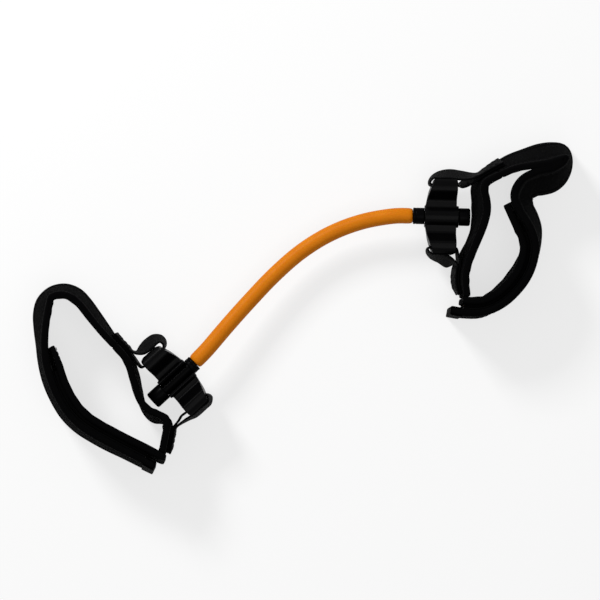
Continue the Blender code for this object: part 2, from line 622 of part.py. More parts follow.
def make_strap_sections(cuff, routes, inner_reach):
    """The four sections of a cuff's strap, its flap's end binding and the two tapes. Returns the band's
    and the strap's routes, which carry the webbing."""
    main = full_route(drawn([*routes["band"], *routes["strap"], *routes["flap"]]))
    join, hinge = station(main, routes["join"]), station(main, routes["hinge"])
    flap_end = station(main, routes["flap_end"])

    inward = -(STRAP_THICKNESS + 2 * TAPE_THICKNESS + 3 * GAP)
    shared = section(main, hinge + TAB_BLEND, flap_end + inner_reach, inward)
    leans = (shared[:3, 2:4] * shared[:3, 4:6]).sum(axis=1)
    tab = full_route(np.vstack([drawn(routes["tab"]), np.column_stack([shared[:3, :2], leans])]))
    tab_end = np.argmin(np.linalg.norm(tab[:, :2] - shared[0, :2], axis=1))
    inner = np.vstack([section(tab, 0, distances(tab)[tab_end])[:-1], shared])

    foot_place = station(main, routes["foot"])
    foot = section(main, foot_place, foot_place + MM, inward - STRAP_THICKNESS / 2 - GAP)[0]
    rising = foot.copy()
    rising[:2] -= foot[4:6] * BAND_FOOT
    rising[2:4] /= 2
    band_line = section(main, 0, join - GAP / 2)
    band = rerouted(np.vstack([foot, rising, band_line]))
    band[0, 4:6] = -foot[5], foot[4]
    straps = (
        ("back_band", section(band, 0, distances(band)[-1])),
        ("outer_strap", section(main, join + GAP / 2, hinge - GAP / 2)),
        ("closing_flap", section(main, hinge + GAP / 2, flap_end)),
        ("inner_strap", inner),
    )
    lofted = {
        name: loft_band(cuff, name, route, STRAP_THICKNESS, STRAP_HEIGHT, STRAP_EDGE, PADDING)
        for name, route in straps
    }

    tape_start, tape_end = hinge + TAPE_START, flap_end - BINDING_LENGTH - TAPE_MARGIN
    face = STRAP_THICKNESS / 2 + GAP + TAPE_THICKNESS / 2
    for name, away, finish in (("hook_tape", -face, HOOK), ("loop_tape", inward + face, LOOP)):
        route = section(main, tape_start, tape_end, away)
        lofted[name] = loft_band(cuff, name, route, TAPE_THICKNESS, TAPE_WIDTH, 0, finish)

    side = STRAP_THICKNESS / 2 + GAP + BINDING_THICKNESS / 2
    outer = section(main, flap_end - BINDING_LENGTH, flap_end, side, BINDING_LENGTH)
    under = section(main, flap_end - BINDING_LENGTH, flap_end, -side, BINDING_LENGTH)[::-1]
    beyond = np.array([-outer[-1, 5], outer[-1, 4]]) * (GAP + BINDING_THICKNESS / 2)
    corners = np.vstack([outer[-1:], under[:1]])
    corners[:, :2] += beyond
    binding = np.vstack([outer[:-1], corners, under[1:]])
    binding[:, 4:6] = outward(binding)
    binding[1:3, 4:6] *= math.sqrt(2)
    lofted["flap_binding"] = loft_band(
        cuff, "flap_binding", binding, BINDING_THICKNESS, STRAP_HEIGHT, 0, PADDING
    )

    # The flap peels about a line beside the outermost edge of the strap
    fold = section(main, hinge, hinge + MM, STRAP_THICKNESS / 2 + HINGE_CLEARANCE)[0]
    centre = cuff.point(fold[0] - fold[2] / 2, fold[1] - fold[3] / 2, AXIS_HEIGHT)
    moving = [lofted[name] for name in ("closing_flap", "hook_tape", "flap_binding")]
    turn_about(cuff.name("flap_hinge"), centre, moving)
    return band, main


def make_loop(cuff, name, host, start, end, free, side):
    """A webbing loop: a tail sewn to the strap from end to start, through the bracket's slot and
    round its bar, and back to a second tail on the first. side is 1 for the bracket's upper end."""
    below = STRAP_THICKNESS / 2 + GAP + WEBBING_THICKNESS / 2
    tails = [
        section(host, start, end, away)[:, :4] for away in (below, below + WEBBING_THICKNESS + GAP)
    ]

    def placed(key, reference):
        points = np.array(free[key], float) * MM
        points[:, 1] = side * (reference + points[:, 1])
        return points

    front = BRACKET_END_DEPTH + MM
    through = [(a, side * SLOT_PLACE, 0, 0) for a in np.linspace(MM, front, 4)]
    points = np.vstack([
        tails[0][::-1], placed("behind", SLOT_PLACE), through, placed("before", SLOT_PLACE),
        placed("round", HALF_BRACKET), tails[1],
    ])
    route = rerouted(points)
    route = section(route, 0, distances(route)[-1], 0, WEBBING_POINT_SPACING)
    return loft_band(cuff, name, route, WEBBING_THICKNESS, WEBBING_WIDTH, 0, WEBBING)


def make_cuff(cuff, routes, inner_reach, upper_loop, lower_loop):
    make_bracket(cuff)
    make_connector(cuff)
    make_fitting(cuff)
    band, main = make_strap_sections(cuff, routes, inner_reach)
    upper = station(main, routes["upper_seam"])
    make_loop(cuff, "upper_webbing_loop", main, upper, upper + TAIL_LENGTH, upper_loop, 1)
    lower = station(band, routes["lower_seam"])
    make_loop(cuff, "lower_webbing_loop", band, lower, lower - TAIL_LENGTH, lower_loop, -1)


make_tube()
make_cuff(LEFT, LEFT_ROUTES, LEFT_INNER_REACH, LEFT_UPPER_LOOP, LEFT_LOWER_LOOP)
make_cuff(RIGHT, RIGHT_ROUTES, RIGHT_INNER_REACH, RIGHT_UPPER_LOOP, RIGHT_LOWER_LOOP)
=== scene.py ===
# %% [markdown]
# # A leg resistance band
#
# A tube of orange latex joins two padded leg cuffs. Each cuff is a ring of foam covered in fabric that
# closes with hook and loop tape, and it carries a moulded bracket on two loops of webbing. The file
# dresses the solids of the frame: it starts with the view, the light and the tube, then makes the
# plastic pieces, and ends with everything that is sewn.

# %% Load the frame
import math

import bmesh
import bpy
import numpy as np
from mathutils import Matrix, Vector


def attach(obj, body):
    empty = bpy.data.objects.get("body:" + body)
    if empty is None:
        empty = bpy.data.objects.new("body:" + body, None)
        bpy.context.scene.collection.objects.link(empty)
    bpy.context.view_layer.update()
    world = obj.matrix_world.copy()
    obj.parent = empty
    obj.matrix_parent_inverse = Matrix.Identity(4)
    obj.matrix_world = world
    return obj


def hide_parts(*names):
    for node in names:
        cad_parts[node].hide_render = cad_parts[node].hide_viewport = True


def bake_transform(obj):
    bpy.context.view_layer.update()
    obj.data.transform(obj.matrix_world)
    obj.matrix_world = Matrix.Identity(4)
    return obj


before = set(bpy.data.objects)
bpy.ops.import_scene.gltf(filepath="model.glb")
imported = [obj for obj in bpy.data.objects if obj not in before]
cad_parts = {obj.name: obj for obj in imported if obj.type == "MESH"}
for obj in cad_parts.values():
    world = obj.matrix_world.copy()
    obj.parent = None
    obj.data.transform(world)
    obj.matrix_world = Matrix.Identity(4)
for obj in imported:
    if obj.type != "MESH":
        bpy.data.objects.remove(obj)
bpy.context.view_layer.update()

MM = 0.001

# %% [markdown]
# ## The sizes
#
# These are the sizes of the frame's solids, in millimetres times MM, so that a dressed piece fills its
# solid. A few go a little past it, to what the photograph shows: the spreads, the bracket's two depths
# and the tape's start. Working with real sizes keeps each piece honest: a slot has to take its webbing,
# and a channel has to take its connector.

# %% Sizes of the pieces
GAP = 0.3 * MM
AXIS_HEIGHT = 25.0 * MM

TUBE_DIAMETER = 11.0 * MM
TUBE_WALL = 2.5 * MM
TUBE_STRAIGHT = 11.0 * MM

COLLAR_DIAMETER = 11.0 * MM
COLLAR_LENGTH = 5.9 * MM
SPIGOT_LENGTH = 10.0 * MM
NECK_DIAMETER = 8.4 * MM
STUB_DIAMETER = 11.6 * MM
STUB_LENGTH = 9.6 * MM
NOSE_DIAMETER = 4.8 * MM
NOSE_LENGTH = 3.1 * MM
STUB_SPREAD = 0.9 * MM
HOUSING_SPREAD = 0.5 * MM
TUBE_SPREAD = 0.12 * MM
COLLAR_SPREAD = 0.6 * MM
BEAD_RISE = 0.7 * MM
BEAD_LENGTH = 2.1 * MM

BRACKET_LENGTH = 54.0 * MM
BRACKET_HEIGHT = 31.0 * MM
BRACKET_END_DEPTH = 17.0 * MM
BRACKET_MIDDLE_DEPTH = 22.3 * MM
END_ROUNDING = 3.0 * MM
WEB_HEIGHT = 9.0 * MM
HUMP_FOOT = 11.0 * MM
HUMP_CREST = 18.5 * MM
SHOULDER_DROP = 6.5 * MM
HOUSING_WALL = 3.1 * MM
HOUSING_FRONT = 21.9 * MM
HOUSING_BACK = 1.6 * MM
LIP_HEIGHT = 7.6 * MM
LIP_ROUNDING = 2.6 * MM
MOUTH_FLARE = 1.2 * MM
BAR_WIDTH = 3.9 * MM

WEBBING_WIDTH = 25.0 * MM
WEBBING_THICKNESS = 1.6 * MM
TAIL_LENGTH = 17.0 * MM

STRAP_HEIGHT = 50.0 * MM
STRAP_THICKNESS = 5.4 * MM
TAB_BLEND = 18.0 * MM
BAND_FOOT = 2.4 * MM
SEWN_GAP = 0.04 * MM
TAPE_THICKNESS = 1.2 * MM
TAPE_WIDTH = 44.0 * MM
TAPE_START = 20.0 * MM
TAPE_MARGIN = 0.6 * MM
PILE = 0.26 * MM
SEWN_DEPTH = 0.42 * MM
BINDING_LENGTH = 8.0 * MM

HALF_BRACKET = BRACKET_LENGTH / 2
CHANNEL_RADIUS = NECK_DIAMETER / 2 + GAP
HOUSING_RADIUS = CHANNEL_RADIUS + HOUSING_WALL
SLOT_WIDTH = WEBBING_THICKNESS + 2.4 * GAP
SLOT_HEIGHT = WEBBING_WIDTH + 3 * GAP
SLOT_PLACE = HALF_BRACKET - BAR_WIDTH - SLOT_WIDTH / 2
NECK_BACK = -HOUSING_BACK - GAP
NECK_FRONT = HOUSING_FRONT + GAP
COLLAR_BACK = NECK_FRONT + GAP
COLLAR_FRONT = COLLAR_BACK + COLLAR_LENGTH
print("slot", round(SLOT_WIDTH / MM, 2), "by", round(SLOT_HEIGHT / MM, 2), "mm")

# %% [markdown]
# ## Where each cuff lies
#
# A cuff has its own small frame: its origin is on the connector's axis at the bracket's back face, its
# first direction runs along the connector towards the tube and its second along the bracket. The two
# cuffs lie turned over from each other, so one channel opens upwards and the other downwards.


# %% The two cuffs' own frames
class Cuff:
    def __init__(self, side, origin, angle, open_up, slack, tube_slant):
        self.side = side
        self.slack = slack
        self.tube_slant = tube_slant
        self.along = Vector((math.cos(angle), math.sin(angle), 0))
        self.across = Vector((-self.along.y, self.along.x, 0)) * (1 if open_up else -1)
        self.origin = Vector((origin[0], origin[1], AXIS_HEIGHT))
        turned = Matrix((self.along, self.across, self.along.cross(self.across))).transposed()
        self.matrix = Matrix.Translation(self.origin) @ turned.to_4x4()

    def name(self, part):
        """The full name of one of this cuff's pieces or bodies."""
        return f"{self.side}_{part}"


LEFT = Cuff("left", (-96.84 * MM, -56.17 * MM), math.radians(42.5), True, 1.2 * MM, 0.8 * MM)
RIGHT = Cuff("right", (106.46 * MM, 65.83 * MM), math.radians(178.5), False, -2.1 * MM, -0.2 * MM)
CUFFS = (LEFT, RIGHT)
for cuff in CUFFS:
    print(cuff.side, "connector points along", [round(c, 3) for c in cuff.along])

# %% [markdown]
# ## The view
#
# The photograph looks straight down from about two metres. A camera that looks down needs no rotation
# in Blender. Its lens follows from its height and from how many millimetres one of the 600 pixels
# covers on the level of the tube.

# %% The camera
IMAGE_PIXELS = 600
PIXEL = 0.705 * MM
CAMERA_HEIGHT = 2.1
SENSOR = 36.0
VIEW_CENTRE = (-1.6 * MM, 7.2 * MM)

bpy.ops.object.camera_add(location=(*VIEW_CENTRE, AXIS_HEIGHT + CAMERA_HEIGHT), rotation=(0, 0, 0))
camera = bpy.context.object
camera.data.sensor_width = SENSOR
camera.data.lens = SENSOR * CAMERA_HEIGHT / (IMAGE_PIXELS * PIXEL)
camera.data.clip_end = 20
bpy.context.scene.camera = camera
print("lens", round(camera.data.lens, 1), "mm")

# %% [markdown]
# ## The light
#
# The photograph is lit from the upper left of the picture, which shows as the pale side of the tube and
# as the glints on the left bracket. One soft lamp stands there, a wide one hangs above as fill, and the
# world gives an even, low light. The world is white where the camera or a glossy surface sees it.


# %% Lamps and world
def add_lamp(name, place, target, size, power):
    """A square area lamp at a place, turned to face a target."""
    bpy.ops.object.light_add(type="AREA", location=place)
    lamp = bpy.context.object
    lamp.name = name
    lamp.data.size = size
    lamp.data.energy = power
    direction = Vector(target) - Vector(place)
    lamp.rotation_euler = direction.to_track_quat("-Z", "Y").to_euler()
    return lamp


KEY_PLACE, KEY_SIZE, KEY_POWER = (-0.85, 1.15, 1.05), 0.42, 27.0
FILL_PLACE, FILL_SIZE, FILL_POWER = (0.25, -0.35, 1.9), 1.1, 9.0
add_lamp("key_softbox", KEY_PLACE, (0, 0, 0), KEY_SIZE, KEY_POWER)
add_lamp("top_softbox", FILL_PLACE, (0, 0, 0), FILL_SIZE, FILL_POWER)


def shader_node(tree, kind, sockets=None, **settings):
    """A node with its settings, whose sockets are values or links from other nodes' outputs."""
    made = tree.nodes.new(kind)
    for name, value in settings.items():
        setattr(made, name, value)
    for name, value in (sockets or {}).items():
        if isinstance(value, bpy.types.NodeSocket):
            tree.links.new(value, made.inputs[name])
        else:
            made.inputs[name].default_value = value
    return made


def maths(tree, operation, first, second=0.0):
    made = shader_node(tree, "ShaderNodeMath", {0: first, 1: second}, operation=operation)
    return made.outputs[0]


def seen_directly(tree):
    """1 where a camera, glossy or transmission ray asks, and 0 for light that falls on surfaces."""
    path = shader_node(tree, "ShaderNodeLightPath")
    either = maths(tree, "MAXIMUM", path.outputs["Is Camera Ray"], path.outputs["Is Glossy Ray"])
    return maths(tree, "MAXIMUM", either, path.outputs["Is Transmission Ray"])


AMBIENT = 0.32

world = bpy.data.worlds.new("studio")
bpy.context.scene.world = world
world.use_nodes = True
tree = world.node_tree
background = tree.nodes["Background"]
background.inputs["Color"].default_value = (1, 1, 1, 1)
extra = maths(tree, "MULTIPLY", seen_directly(tree), 1 - AMBIENT)
tree.links.new(maths(tree, "ADD", extra, AMBIENT), background.inputs["Strength"])
bpy.context.scene.view_settings.view_transform = "Standard"

# %% [markdown]
# ## The floor
#
# The object lies on a plain white surface. A real white floor would need a lot of light to look white,
# and that light would wash out the black fabric. So the floor adds a share of plain white for rays from
# the camera, and the rest of its tone is lit normally, which keeps the object's soft shadow.

# %% A white floor that keeps shadows
FLOOR_SIZE = 8.0
FLOOR_DROP = 0.1 * MM
FLOOR_OWN_WHITE = 0.7
PAPER_COLOUR = (0.85, 0.85, 0.85, 1)

bpy.ops.mesh.primitive_plane_add(size=FLOOR_SIZE, location=(0, 0, -FLOOR_DROP))
floor = bpy.context.object
floor.name = "white_floor"
paper = bpy.data.materials.new("white_paper")
paper.use_nodes = True
tree = paper.node_tree
tree.nodes.clear()
lit = shader_node(tree, "ShaderNodeBsdfDiffuse", {"Color": PAPER_COLOUR})
plain = shader_node(tree, "ShaderNodeEmission", {"Color": (1, 1, 1, 1), "Strength": 1.0})
share = maths(tree, "MULTIPLY", seen_directly(tree), FLOOR_OWN_WHITE)
mixed = shader_node(tree, "ShaderNodeMixShader", {0: share, 1: lit.outputs[0], 2: plain.outputs[0]})
shader_node(tree, "ShaderNodeOutputMaterial", {"Surface": mixed.outputs[0]})
floor.data.materials.append(paper)
print("floor", FLOOR_SIZE, "m wide")

# %% [markdown]
# ## Helpers for modelling by hand
#
# An operator works on whatever is selected, so every step first says which object it works on and which
# points, edges or faces of it. Picking them by their place does in code what a box selection does with
# the mouse.


# %% Selecting things in code
def edit_mode():
    bpy.ops.object.mode_set(mode="EDIT")


def object_mode():
    bpy.ops.object.mode_set(mode="OBJECT")


def select_nothing():
    if bpy.context.mode != "OBJECT":
        object_mode()
    bpy.ops.object.select_all(action="DESELECT")


def work_on(piece):
    select_nothing()
    piece.select_set(True)
    bpy.context.view_layer.objects.active = piece


def pick(piece, kind, test):
    """In edit mode, select the points, edges or faces that pass a test."""
    bpy.ops.mesh.select_mode(type=kind)
    bpy.ops.mesh.select_all(action="DESELECT")
    shape = bmesh.from_edit_mesh(piece.data)
    for item in {"VERT": shape.verts, "EDGE": shape.edges, "FACE": shape.faces}[kind]:
        if test(item):
            item.select_set(True)
    shape.select_flush_mode()
    bmesh.update_edit_mesh(piece.data)


def cut_along(piece, axis, cuts):
    """Lay evenly spaced loops across a block, by dividing the edges that run along one axis."""
    if cuts < 1:
        return

    def runs_along(edge):
        return abs((edge.verts[1].co - edge.verts[0].co).normalized()[axis]) > 0.9

    pick(piece, "EDGE", runs_along)
    bpy.ops.mesh.subdivide(number_cuts=cuts)


def apply_place():
    bpy.ops.object.transform_apply(location=True, rotation=True, scale=True)


def add_block(name, low, high):
    """A block from its lowest to its highest corner, ready to be edited."""
    low, high = Vector(low), Vector(high)
    select_nothing()
    bpy.ops.mesh.primitive_cube_add(size=1, location=(low + high) / 2, scale=high - low)
    block = bpy.context.object
    block.name = name
    apply_place()
    return block


def apply_modifier(piece, kind, **settings):
    """Add a modifier with its settings and apply it at once."""
    work_on(piece)
    made = piece.modifiers.new(kind.lower(), kind)
    for name, value in settings.items():
        setattr(made, name, value)
    bpy.ops.object.modifier_apply(modifier=made.name)


def combine(piece, other, operation):
    """Cut one shape from another, join it to it or keep what they share, and delete the other."""
    apply_modifier(piece, "BOOLEAN", object=other, operation=operation, solver="EXACT")
    bpy.data.objects.remove(other)


def cover(piece, *materials):
    """Give a piece its materials, in place of any that its parts had."""
    piece.data.materials.clear()
    for material in materials:
        piece.data.materials.append(material)


def dress(piece, body, slot, *nodes):
    """Let a piece ride on a body, in place of the solids that it dresses."""
    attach(piece, body)
    if nodes:
        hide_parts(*nodes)
    return piece


def count_triangles(piece):
    piece.data.calc_loop_triangles()
    return len(piece.data.loop_triangles)


print("helpers ready")

# %% [markdown]
# ## Orange latex
#
# Latex tubing is dyed right through and comes from its mould with a fine powder on it, so it is a
# little soft in its shine: paler in broad patches, with faint lines along it. A trace of light enters
# it, which subsurface scattering gives.


# %% The latex material
def new_material(name, colour, roughness, specular):
    made = bpy.data.materials.new(name)
    made.use_nodes = True
    shader = made.node_tree.nodes["Principled BSDF"]
    shader.inputs["Base Color"].default_value = (*colour, 1)
    shader.inputs["Roughness"].default_value = roughness
    shader.inputs["Specular IOR Level"].default_value = specular
    return made, made.node_tree, shader


def noise(tree, scale, detail=3.0, stretch=(1, 1, 1)):
    """Noise on the object's own coordinates, stretched along an axis where the mark is a line."""
    place = shader_node(tree, "ShaderNodeTexCoord").outputs["Object"]
    turned = shader_node(tree, "ShaderNodeMapping", {"Vector": place, "Scale": stretch})
    made = shader_node(
        tree, "ShaderNodeTexNoise", {"Vector": turned.outputs[0], "Scale": scale, "Detail": detail}
    )
    return made.outputs["Fac"]


def mix_colours(tree, share, first, second):
    made = shader_node(tree, "ShaderNodeMix", {0: share, 6: (*first, 1), 7: (*second, 1)}, data_type="RGBA")
    return made.outputs[2]


def add_bump(tree, shader, height, distance, strength=1.0):
    made = shader_node(
        tree, "ShaderNodeBump", {"Height": height, "Distance": distance, "Strength": strength}
    )
    tree.links.new(made.outputs[0], shader.inputs["Normal"])


LATEX, tree, shader = new_material("orange_latex", (0.55, 0.155, 0.003), 0.46, 0.05)
powder = noise(tree, 90, 4)
tree.links.new(
    mix_colours(tree, powder, (0.515, 0.138, 0.002), (0.59, 0.175, 0.004)), shader.inputs["Base Color"]
)
shade = maths(tree, "MULTIPLY_ADD", noise(tree, 420, 2), 0.2)
shade.node.inputs[2].default_value = 0.36
tree.links.new(shade, shader.inputs["Roughness"])
shader.inputs["Subsurface Weight"].default_value = 0.06
shader.inputs["Subsurface Scale"].default_value = 1.5 * MM
add_bump(tree, shader, noise(tree, 1500, 2), 0.03 * MM, 0.5)
print("material", LATEX.name)

# %% [markdown]
# ## The tube
#
# The tube is one length of latex that leaves each collar straight, because a barbed spigot inside
# stiffens it, and then bends in one open bow between the cuffs. It sags a little where nothing carries
# it. A smooth line through a few chosen points gives that bow, a bevelled curve gives the round tube,
# and Solidify gives its wall, so that it is hollow as the real one is.

# %% The tube's route
TUBE_ROUTE = (
    (-52.8, -10.8, -1.4), (-36.5, 7.4, -3.2), (-19.7, 25.0, -4.4), (-1.1, 41.2, -5.0),
    (19.8, 54.1, -4.5), (42.9, 62.7, -2.7),
)
TUBE_POINT_SPACING = 5.0 * MM
STRAIGHT_SHARES = (0.003, 0.5, 1)
CURVE_STEPS = 24


def distances(route):
    """How far along a route each of its points lies."""
    return np.concatenate([[0], np.cumsum(np.linalg.norm(np.diff(route[:, :2], axis=0), axis=1))])


def smooth_curve(points, spacing):
    """Evenly spaced points on a smooth curve through the given ones."""
    points = np.array(points, float)
    ends = np.vstack([2 * points[0] - points[1], points, 2 * points[-1] - points[-2]])
    steps = np.sqrt(np.linalg.norm(np.diff(ends[:, :2], axis=0), axis=1))
    fine = []
    for i in range(1, len(ends) - 2):
        p0, p1, p2, p3 = ends[i - 1 : i + 3]
        k0, k1, k2 = steps[i - 1 : i + 2]
        out = (p1 - p0) / k0 - (p2 - p0) / (k0 + k1) + (p2 - p1) / k1
        into = (p2 - p1) / k1 - (p3 - p1) / (k1 + k2) + (p3 - p2) / k2
        for t in np.linspace(0, 1, CURVE_STEPS, endpoint=False):
            fine.append(
                (2 * t**3 - 3 * t**2 + 1) * p1
                + (t**3 - 2 * t**2 + t) * k1 * out
                + (3 * t**2 - 2 * t**3) * p2
                + (t**3 - t**2) * k1 * into
            )
    fine = np.array(fine + [points[-1]])
    gone = distances(fine)
    at = np.linspace(0, gone[-1], max(2, round(gone[-1] / spacing) + 1))
    return np.stack([np.interp(at, gone, column) for column in fine.T], axis=1)


def tube_line():
    ends = []
    for cuff in CUFFS:
        face = cuff.origin + cuff.along * COLLAR_FRONT
        side = cuff.across * cuff.tube_slant
        ends.append([
            face + cuff.along * (TUBE_STRAIGHT + GAP) * share + side * (0.3 + 0.7 * share)
            for share in STRAIGHT_SHARES
        ])
    middle = [(x * MM, y * MM, AXIS_HEIGHT + sag * MM) for x, y, sag in TUBE_ROUTE]
    route = [tuple(p) for p in ends[0]] + middle + [tuple(p) for p in reversed(ends[1])]
    return smooth_curve(route, TUBE_POINT_SPACING)


line = tube_line()

# %% The tube itself
select_nothing()
curve = bpy.data.curves.new("latex_tube", "CURVE")
curve.dimensions = "3D"
curve.bevel_depth = TUBE_DIAMETER / 2 + TUBE_SPREAD
curve.bevel_resolution = 8
spline = curve.splines.new("POLY")
spline.points.add(len(line) - 1)
for point, place in zip(spline.points, line):
    point.co = (*place, 1)
tube = bpy.data.objects.new("latex_tube", curve)
bpy.context.scene.collection.objects.link(tube)
work_on(tube)
bpy.ops.object.convert(target="MESH")
tube = bpy.context.object
edit_mode()
bpy.ops.mesh.select_all(action="SELECT")
bpy.ops.mesh.remove_doubles(threshold=0.01 * MM)
bpy.ops.mesh.normals_make_consistent(inside=False)
object_mode()
apply_modifier(tube, "SOLIDIFY", thickness=TUBE_WALL, offset=-1.0, use_rim=True)
apply_modifier(tube, "SUBSURF", levels=1, render_levels=1)
bpy.ops.object.shade_smooth()
cover(tube, LATEX)
dress(tube, "tube_assembly", "orange_latex", "resistance_tube")
print(tube.name, count_triangles(tube), "triangles")

# %% [markdown]
# ## Black plastic
#
# The bracket is moulded in glossy black nylon, and the connector and fitting in a slightly duller one.
# A moulded surface is never a mirror: it has a very fine grain, some broad unevenness, and small
# scuffs that catch the light where webbing and connector rub. Both finishes are near black with their
# shine set by roughness and by how strongly they reflect.


# %% The plastic materials
SCUFF_SCALE = 260
PATCH_SCALE = 140
SWELL_SCALE = 70
GRAIN_SCALE = 1800
PLASTIC_BUMP = 0.12 * MM


def moulded_plastic(name, colour, roughness, specular, gloss):
    made, tree, shader = new_material(name, colour, roughness, specular)
    scuffs = noise(tree, SCUFF_SCALE, 5)
    uneven = maths(tree, "MULTIPLY_ADD", scuffs, 0.16)
    uneven.node.inputs[2].default_value = roughness - 0.08
    tree.links.new(uneven, shader.inputs["Roughness"])
    paler = tuple(c * 2.2 for c in colour)
    tree.links.new(mix_colours(tree, noise(tree, PATCH_SCALE, 4), colour, paler), shader.inputs["Base Color"])
    broad = maths(tree, "MULTIPLY", noise(tree, SWELL_SCALE, 1), 0.9)
    fine = maths(tree, "MULTIPLY", noise(tree, GRAIN_SCALE, 2), 0.12)
    add_bump(tree, shader, maths(tree, "ADD", broad, fine), PLASTIC_BUMP, 0.7)
    shader.inputs["Coat Weight"].default_value = gloss
    shader.inputs["Coat Roughness"].default_value = 0.2
    return made


MOULDED = moulded_plastic("moulded_black_nylon", (0.0006, 0.0006, 0.0007), 0.34, 0.014, 0.035)
CONNECTOR_PLASTIC = moulded_plastic("connector_nylon", (0.0005, 0.0005, 0.0006), 0.38, 0.010, 0.01)
print("plastics ready")

# %% [markdown]
# ## The bracket
#
# The bracket is the one piece that has to carry the pull of the tube, so it is a thick moulding: a bar
# with a slot near each end for the webbing, a low web, and in its middle a housing with an open channel
# that the connector's neck lies in. It is made once, lying along its own axes. A block is cut into
# columns, and each column is pressed to the height and depth that the bracket has there. The housing is
# a cylinder and a block joined on, and the channel and slots are cut out. A fine remesh then melts the
# hard cut edges into the small radii that a moulding has.

# %% The bar with its two humps
COLUMN = 1.0 * MM
VOXEL = 0.36 * MM


def bracket_half_height(across):
    """Half the bracket's height at a distance from its middle: web, rise, crest and rounded end."""
    low, high = WEB_HEIGHT / 2, BRACKET_HEIGHT / 2
    shoulder = SLOT_PLACE - SLOT_WIDTH / 2
    if across < shoulder:
        t = min(max((across - HUMP_FOOT) / (HUMP_CREST - HUMP_FOOT), 0), 1)
        return low + (high - low) * t * t * (3 - 2 * t)
    t = min((across - shoulder) / (HALF_BRACKET - shoulder), 1)
    return high - SHOULDER_DROP * (1 - math.sqrt(max(0, 1 - t * t)))


def bracket_depths(across):
    """Where the bracket's back and front faces lie at a distance from its middle."""
    t = min(across / (HALF_BRACKET - END_ROUNDING), 1)
    front = BRACKET_END_DEPTH + (BRACKET_MIDDLE_DEPTH - BRACKET_END_DEPTH) * (1 - t * t)
    past = max(0, across - (HALF_BRACKET - END_ROUNDING))
    corner = END_ROUNDING - math.sqrt(max(0, END_ROUNDING**2 - past**2))
    return corner, front - corner


def make_bar():
    bar = add_block(
        "bracket", (0, -HALF_BRACKET, -BRACKET_HEIGHT / 2),
        (BRACKET_MIDDLE_DEPTH, HALF_BRACKET, BRACKET_HEIGHT / 2),
    )
    edit_mode()
    columns = round(BRACKET_LENGTH / COLUMN)
    cut_along(bar, 1, columns - 1)
    for column in range(columns + 1):
        across = -HALF_BRACKET + column * COLUMN
        pick(bar, "VERT", lambda v: abs(v.co.y - across) < COLUMN / 4)
        back, front = bracket_depths(abs(across))
        deep = (front - back) / BRACKET_MIDDLE_DEPTH
        tall = bracket_half_height(abs(across)) / (BRACKET_HEIGHT / 2)
        bpy.ops.transform.resize(value=(deep, 1, tall), center_override=(0, across, 0))
        bpy.ops.transform.translate(value=(back, 0, 0))
    object_mode()
    return bar


bracket = make_bar()
print("bar of", len(bracket.data.vertices), "points")


# %% The housing, the channel and the slots
def add_rod(name, radius, start, end, sides=64):
    """A cylinder along the connector's axis, from one station to another."""
    select_nothing()
    bpy.ops.mesh.primitive_cylinder_add(
        vertices=sides, radius=radius, depth=end - start,
        location=((start + end) / 2, 0, 0), rotation=(0, math.pi / 2, 0),
    )
    rod = bpy.context.object
    rod.name = name
    apply_place()
    return rod


def round_edges(piece, width, segments, test):
    """Bevel the edges of a piece that pass a test."""
    work_on(piece)
    edit_mode()
    pick(piece, "EDGE", test)
    bpy.ops.mesh.bevel(offset=width, segments=segments, affect="EDGES")
    object_mode()


def runs_along_connector(edge):
    return abs((edge.verts[1].co - edge.verts[0].co).normalized().x) > 0.9


housing_end = HOUSING_FRONT + HOUSING_SPREAD
housing = add_rod("housing", HOUSING_RADIUS, -HOUSING_BACK, housing_end)
lips = add_block("lips", (-HOUSING_BACK, -HOUSING_RADIUS, 0), (housing_end, HOUSING_RADIUS, LIP_HEIGHT))
round_edges(lips, LIP_ROUNDING, 6, lambda e: runs_along_connector(e) and e.verts[0].co.z > GAP)
combine(bracket, housing, "UNION")
combine(bracket, lips, "UNION")

beyond = BRACKET_MIDDLE_DEPTH + HOUSING_FRONT
channel = add_rod("channel", CHANNEL_RADIUS, -beyond, beyond)
mouth = add_block("mouth", (-beyond, -CHANNEL_RADIUS, 0), (beyond, CHANNEL_RADIUS, BRACKET_HEIGHT))
flare = add_block(
    "flare", (-beyond, -CHANNEL_RADIUS - MOUTH_FLARE, LIP_HEIGHT - MOUTH_FLARE),
    (beyond, CHANNEL_RADIUS + MOUTH_FLARE, BRACKET_HEIGHT),
)
round_edges(
    flare, MOUTH_FLARE * 0.98, 4, lambda e: runs_along_connector(e) and e.verts[0].co.z < LIP_HEIGHT
)
for cutter in (channel, mouth, flare):
    combine(bracket, cutter, "DIFFERENCE")
for side in (1, -1):
    slot = add_block(
        "slot", (-beyond, side * SLOT_PLACE - SLOT_WIDTH / 2, -SLOT_HEIGHT / 2),
        (beyond, side * SLOT_PLACE + SLOT_WIDTH / 2, SLOT_HEIGHT / 2),
    )
    round_edges(slot, SLOT_WIDTH * 0.45, 4, runs_along_connector)
    combine(bracket, slot, "DIFFERENCE")
print("bracket cut,", count_triangles(bracket), "triangles")

# %% Melt the edges and set one bracket on each cuff
SMOOTHING_PASSES = 6


def put_in_place(piece, matrix):
    """Move a piece that was modelled on its own axes to its place, and apply that place."""
    work_on(piece)
    piece.matrix_world = matrix
    apply_place()


apply_modifier(bracket, "REMESH", mode="VOXEL", voxel_size=VOXEL, use_smooth_shade=True)
apply_modifier(bracket, "SMOOTH", factor=0.5, iterations=SMOOTHING_PASSES)
cover(bracket, MOULDED)

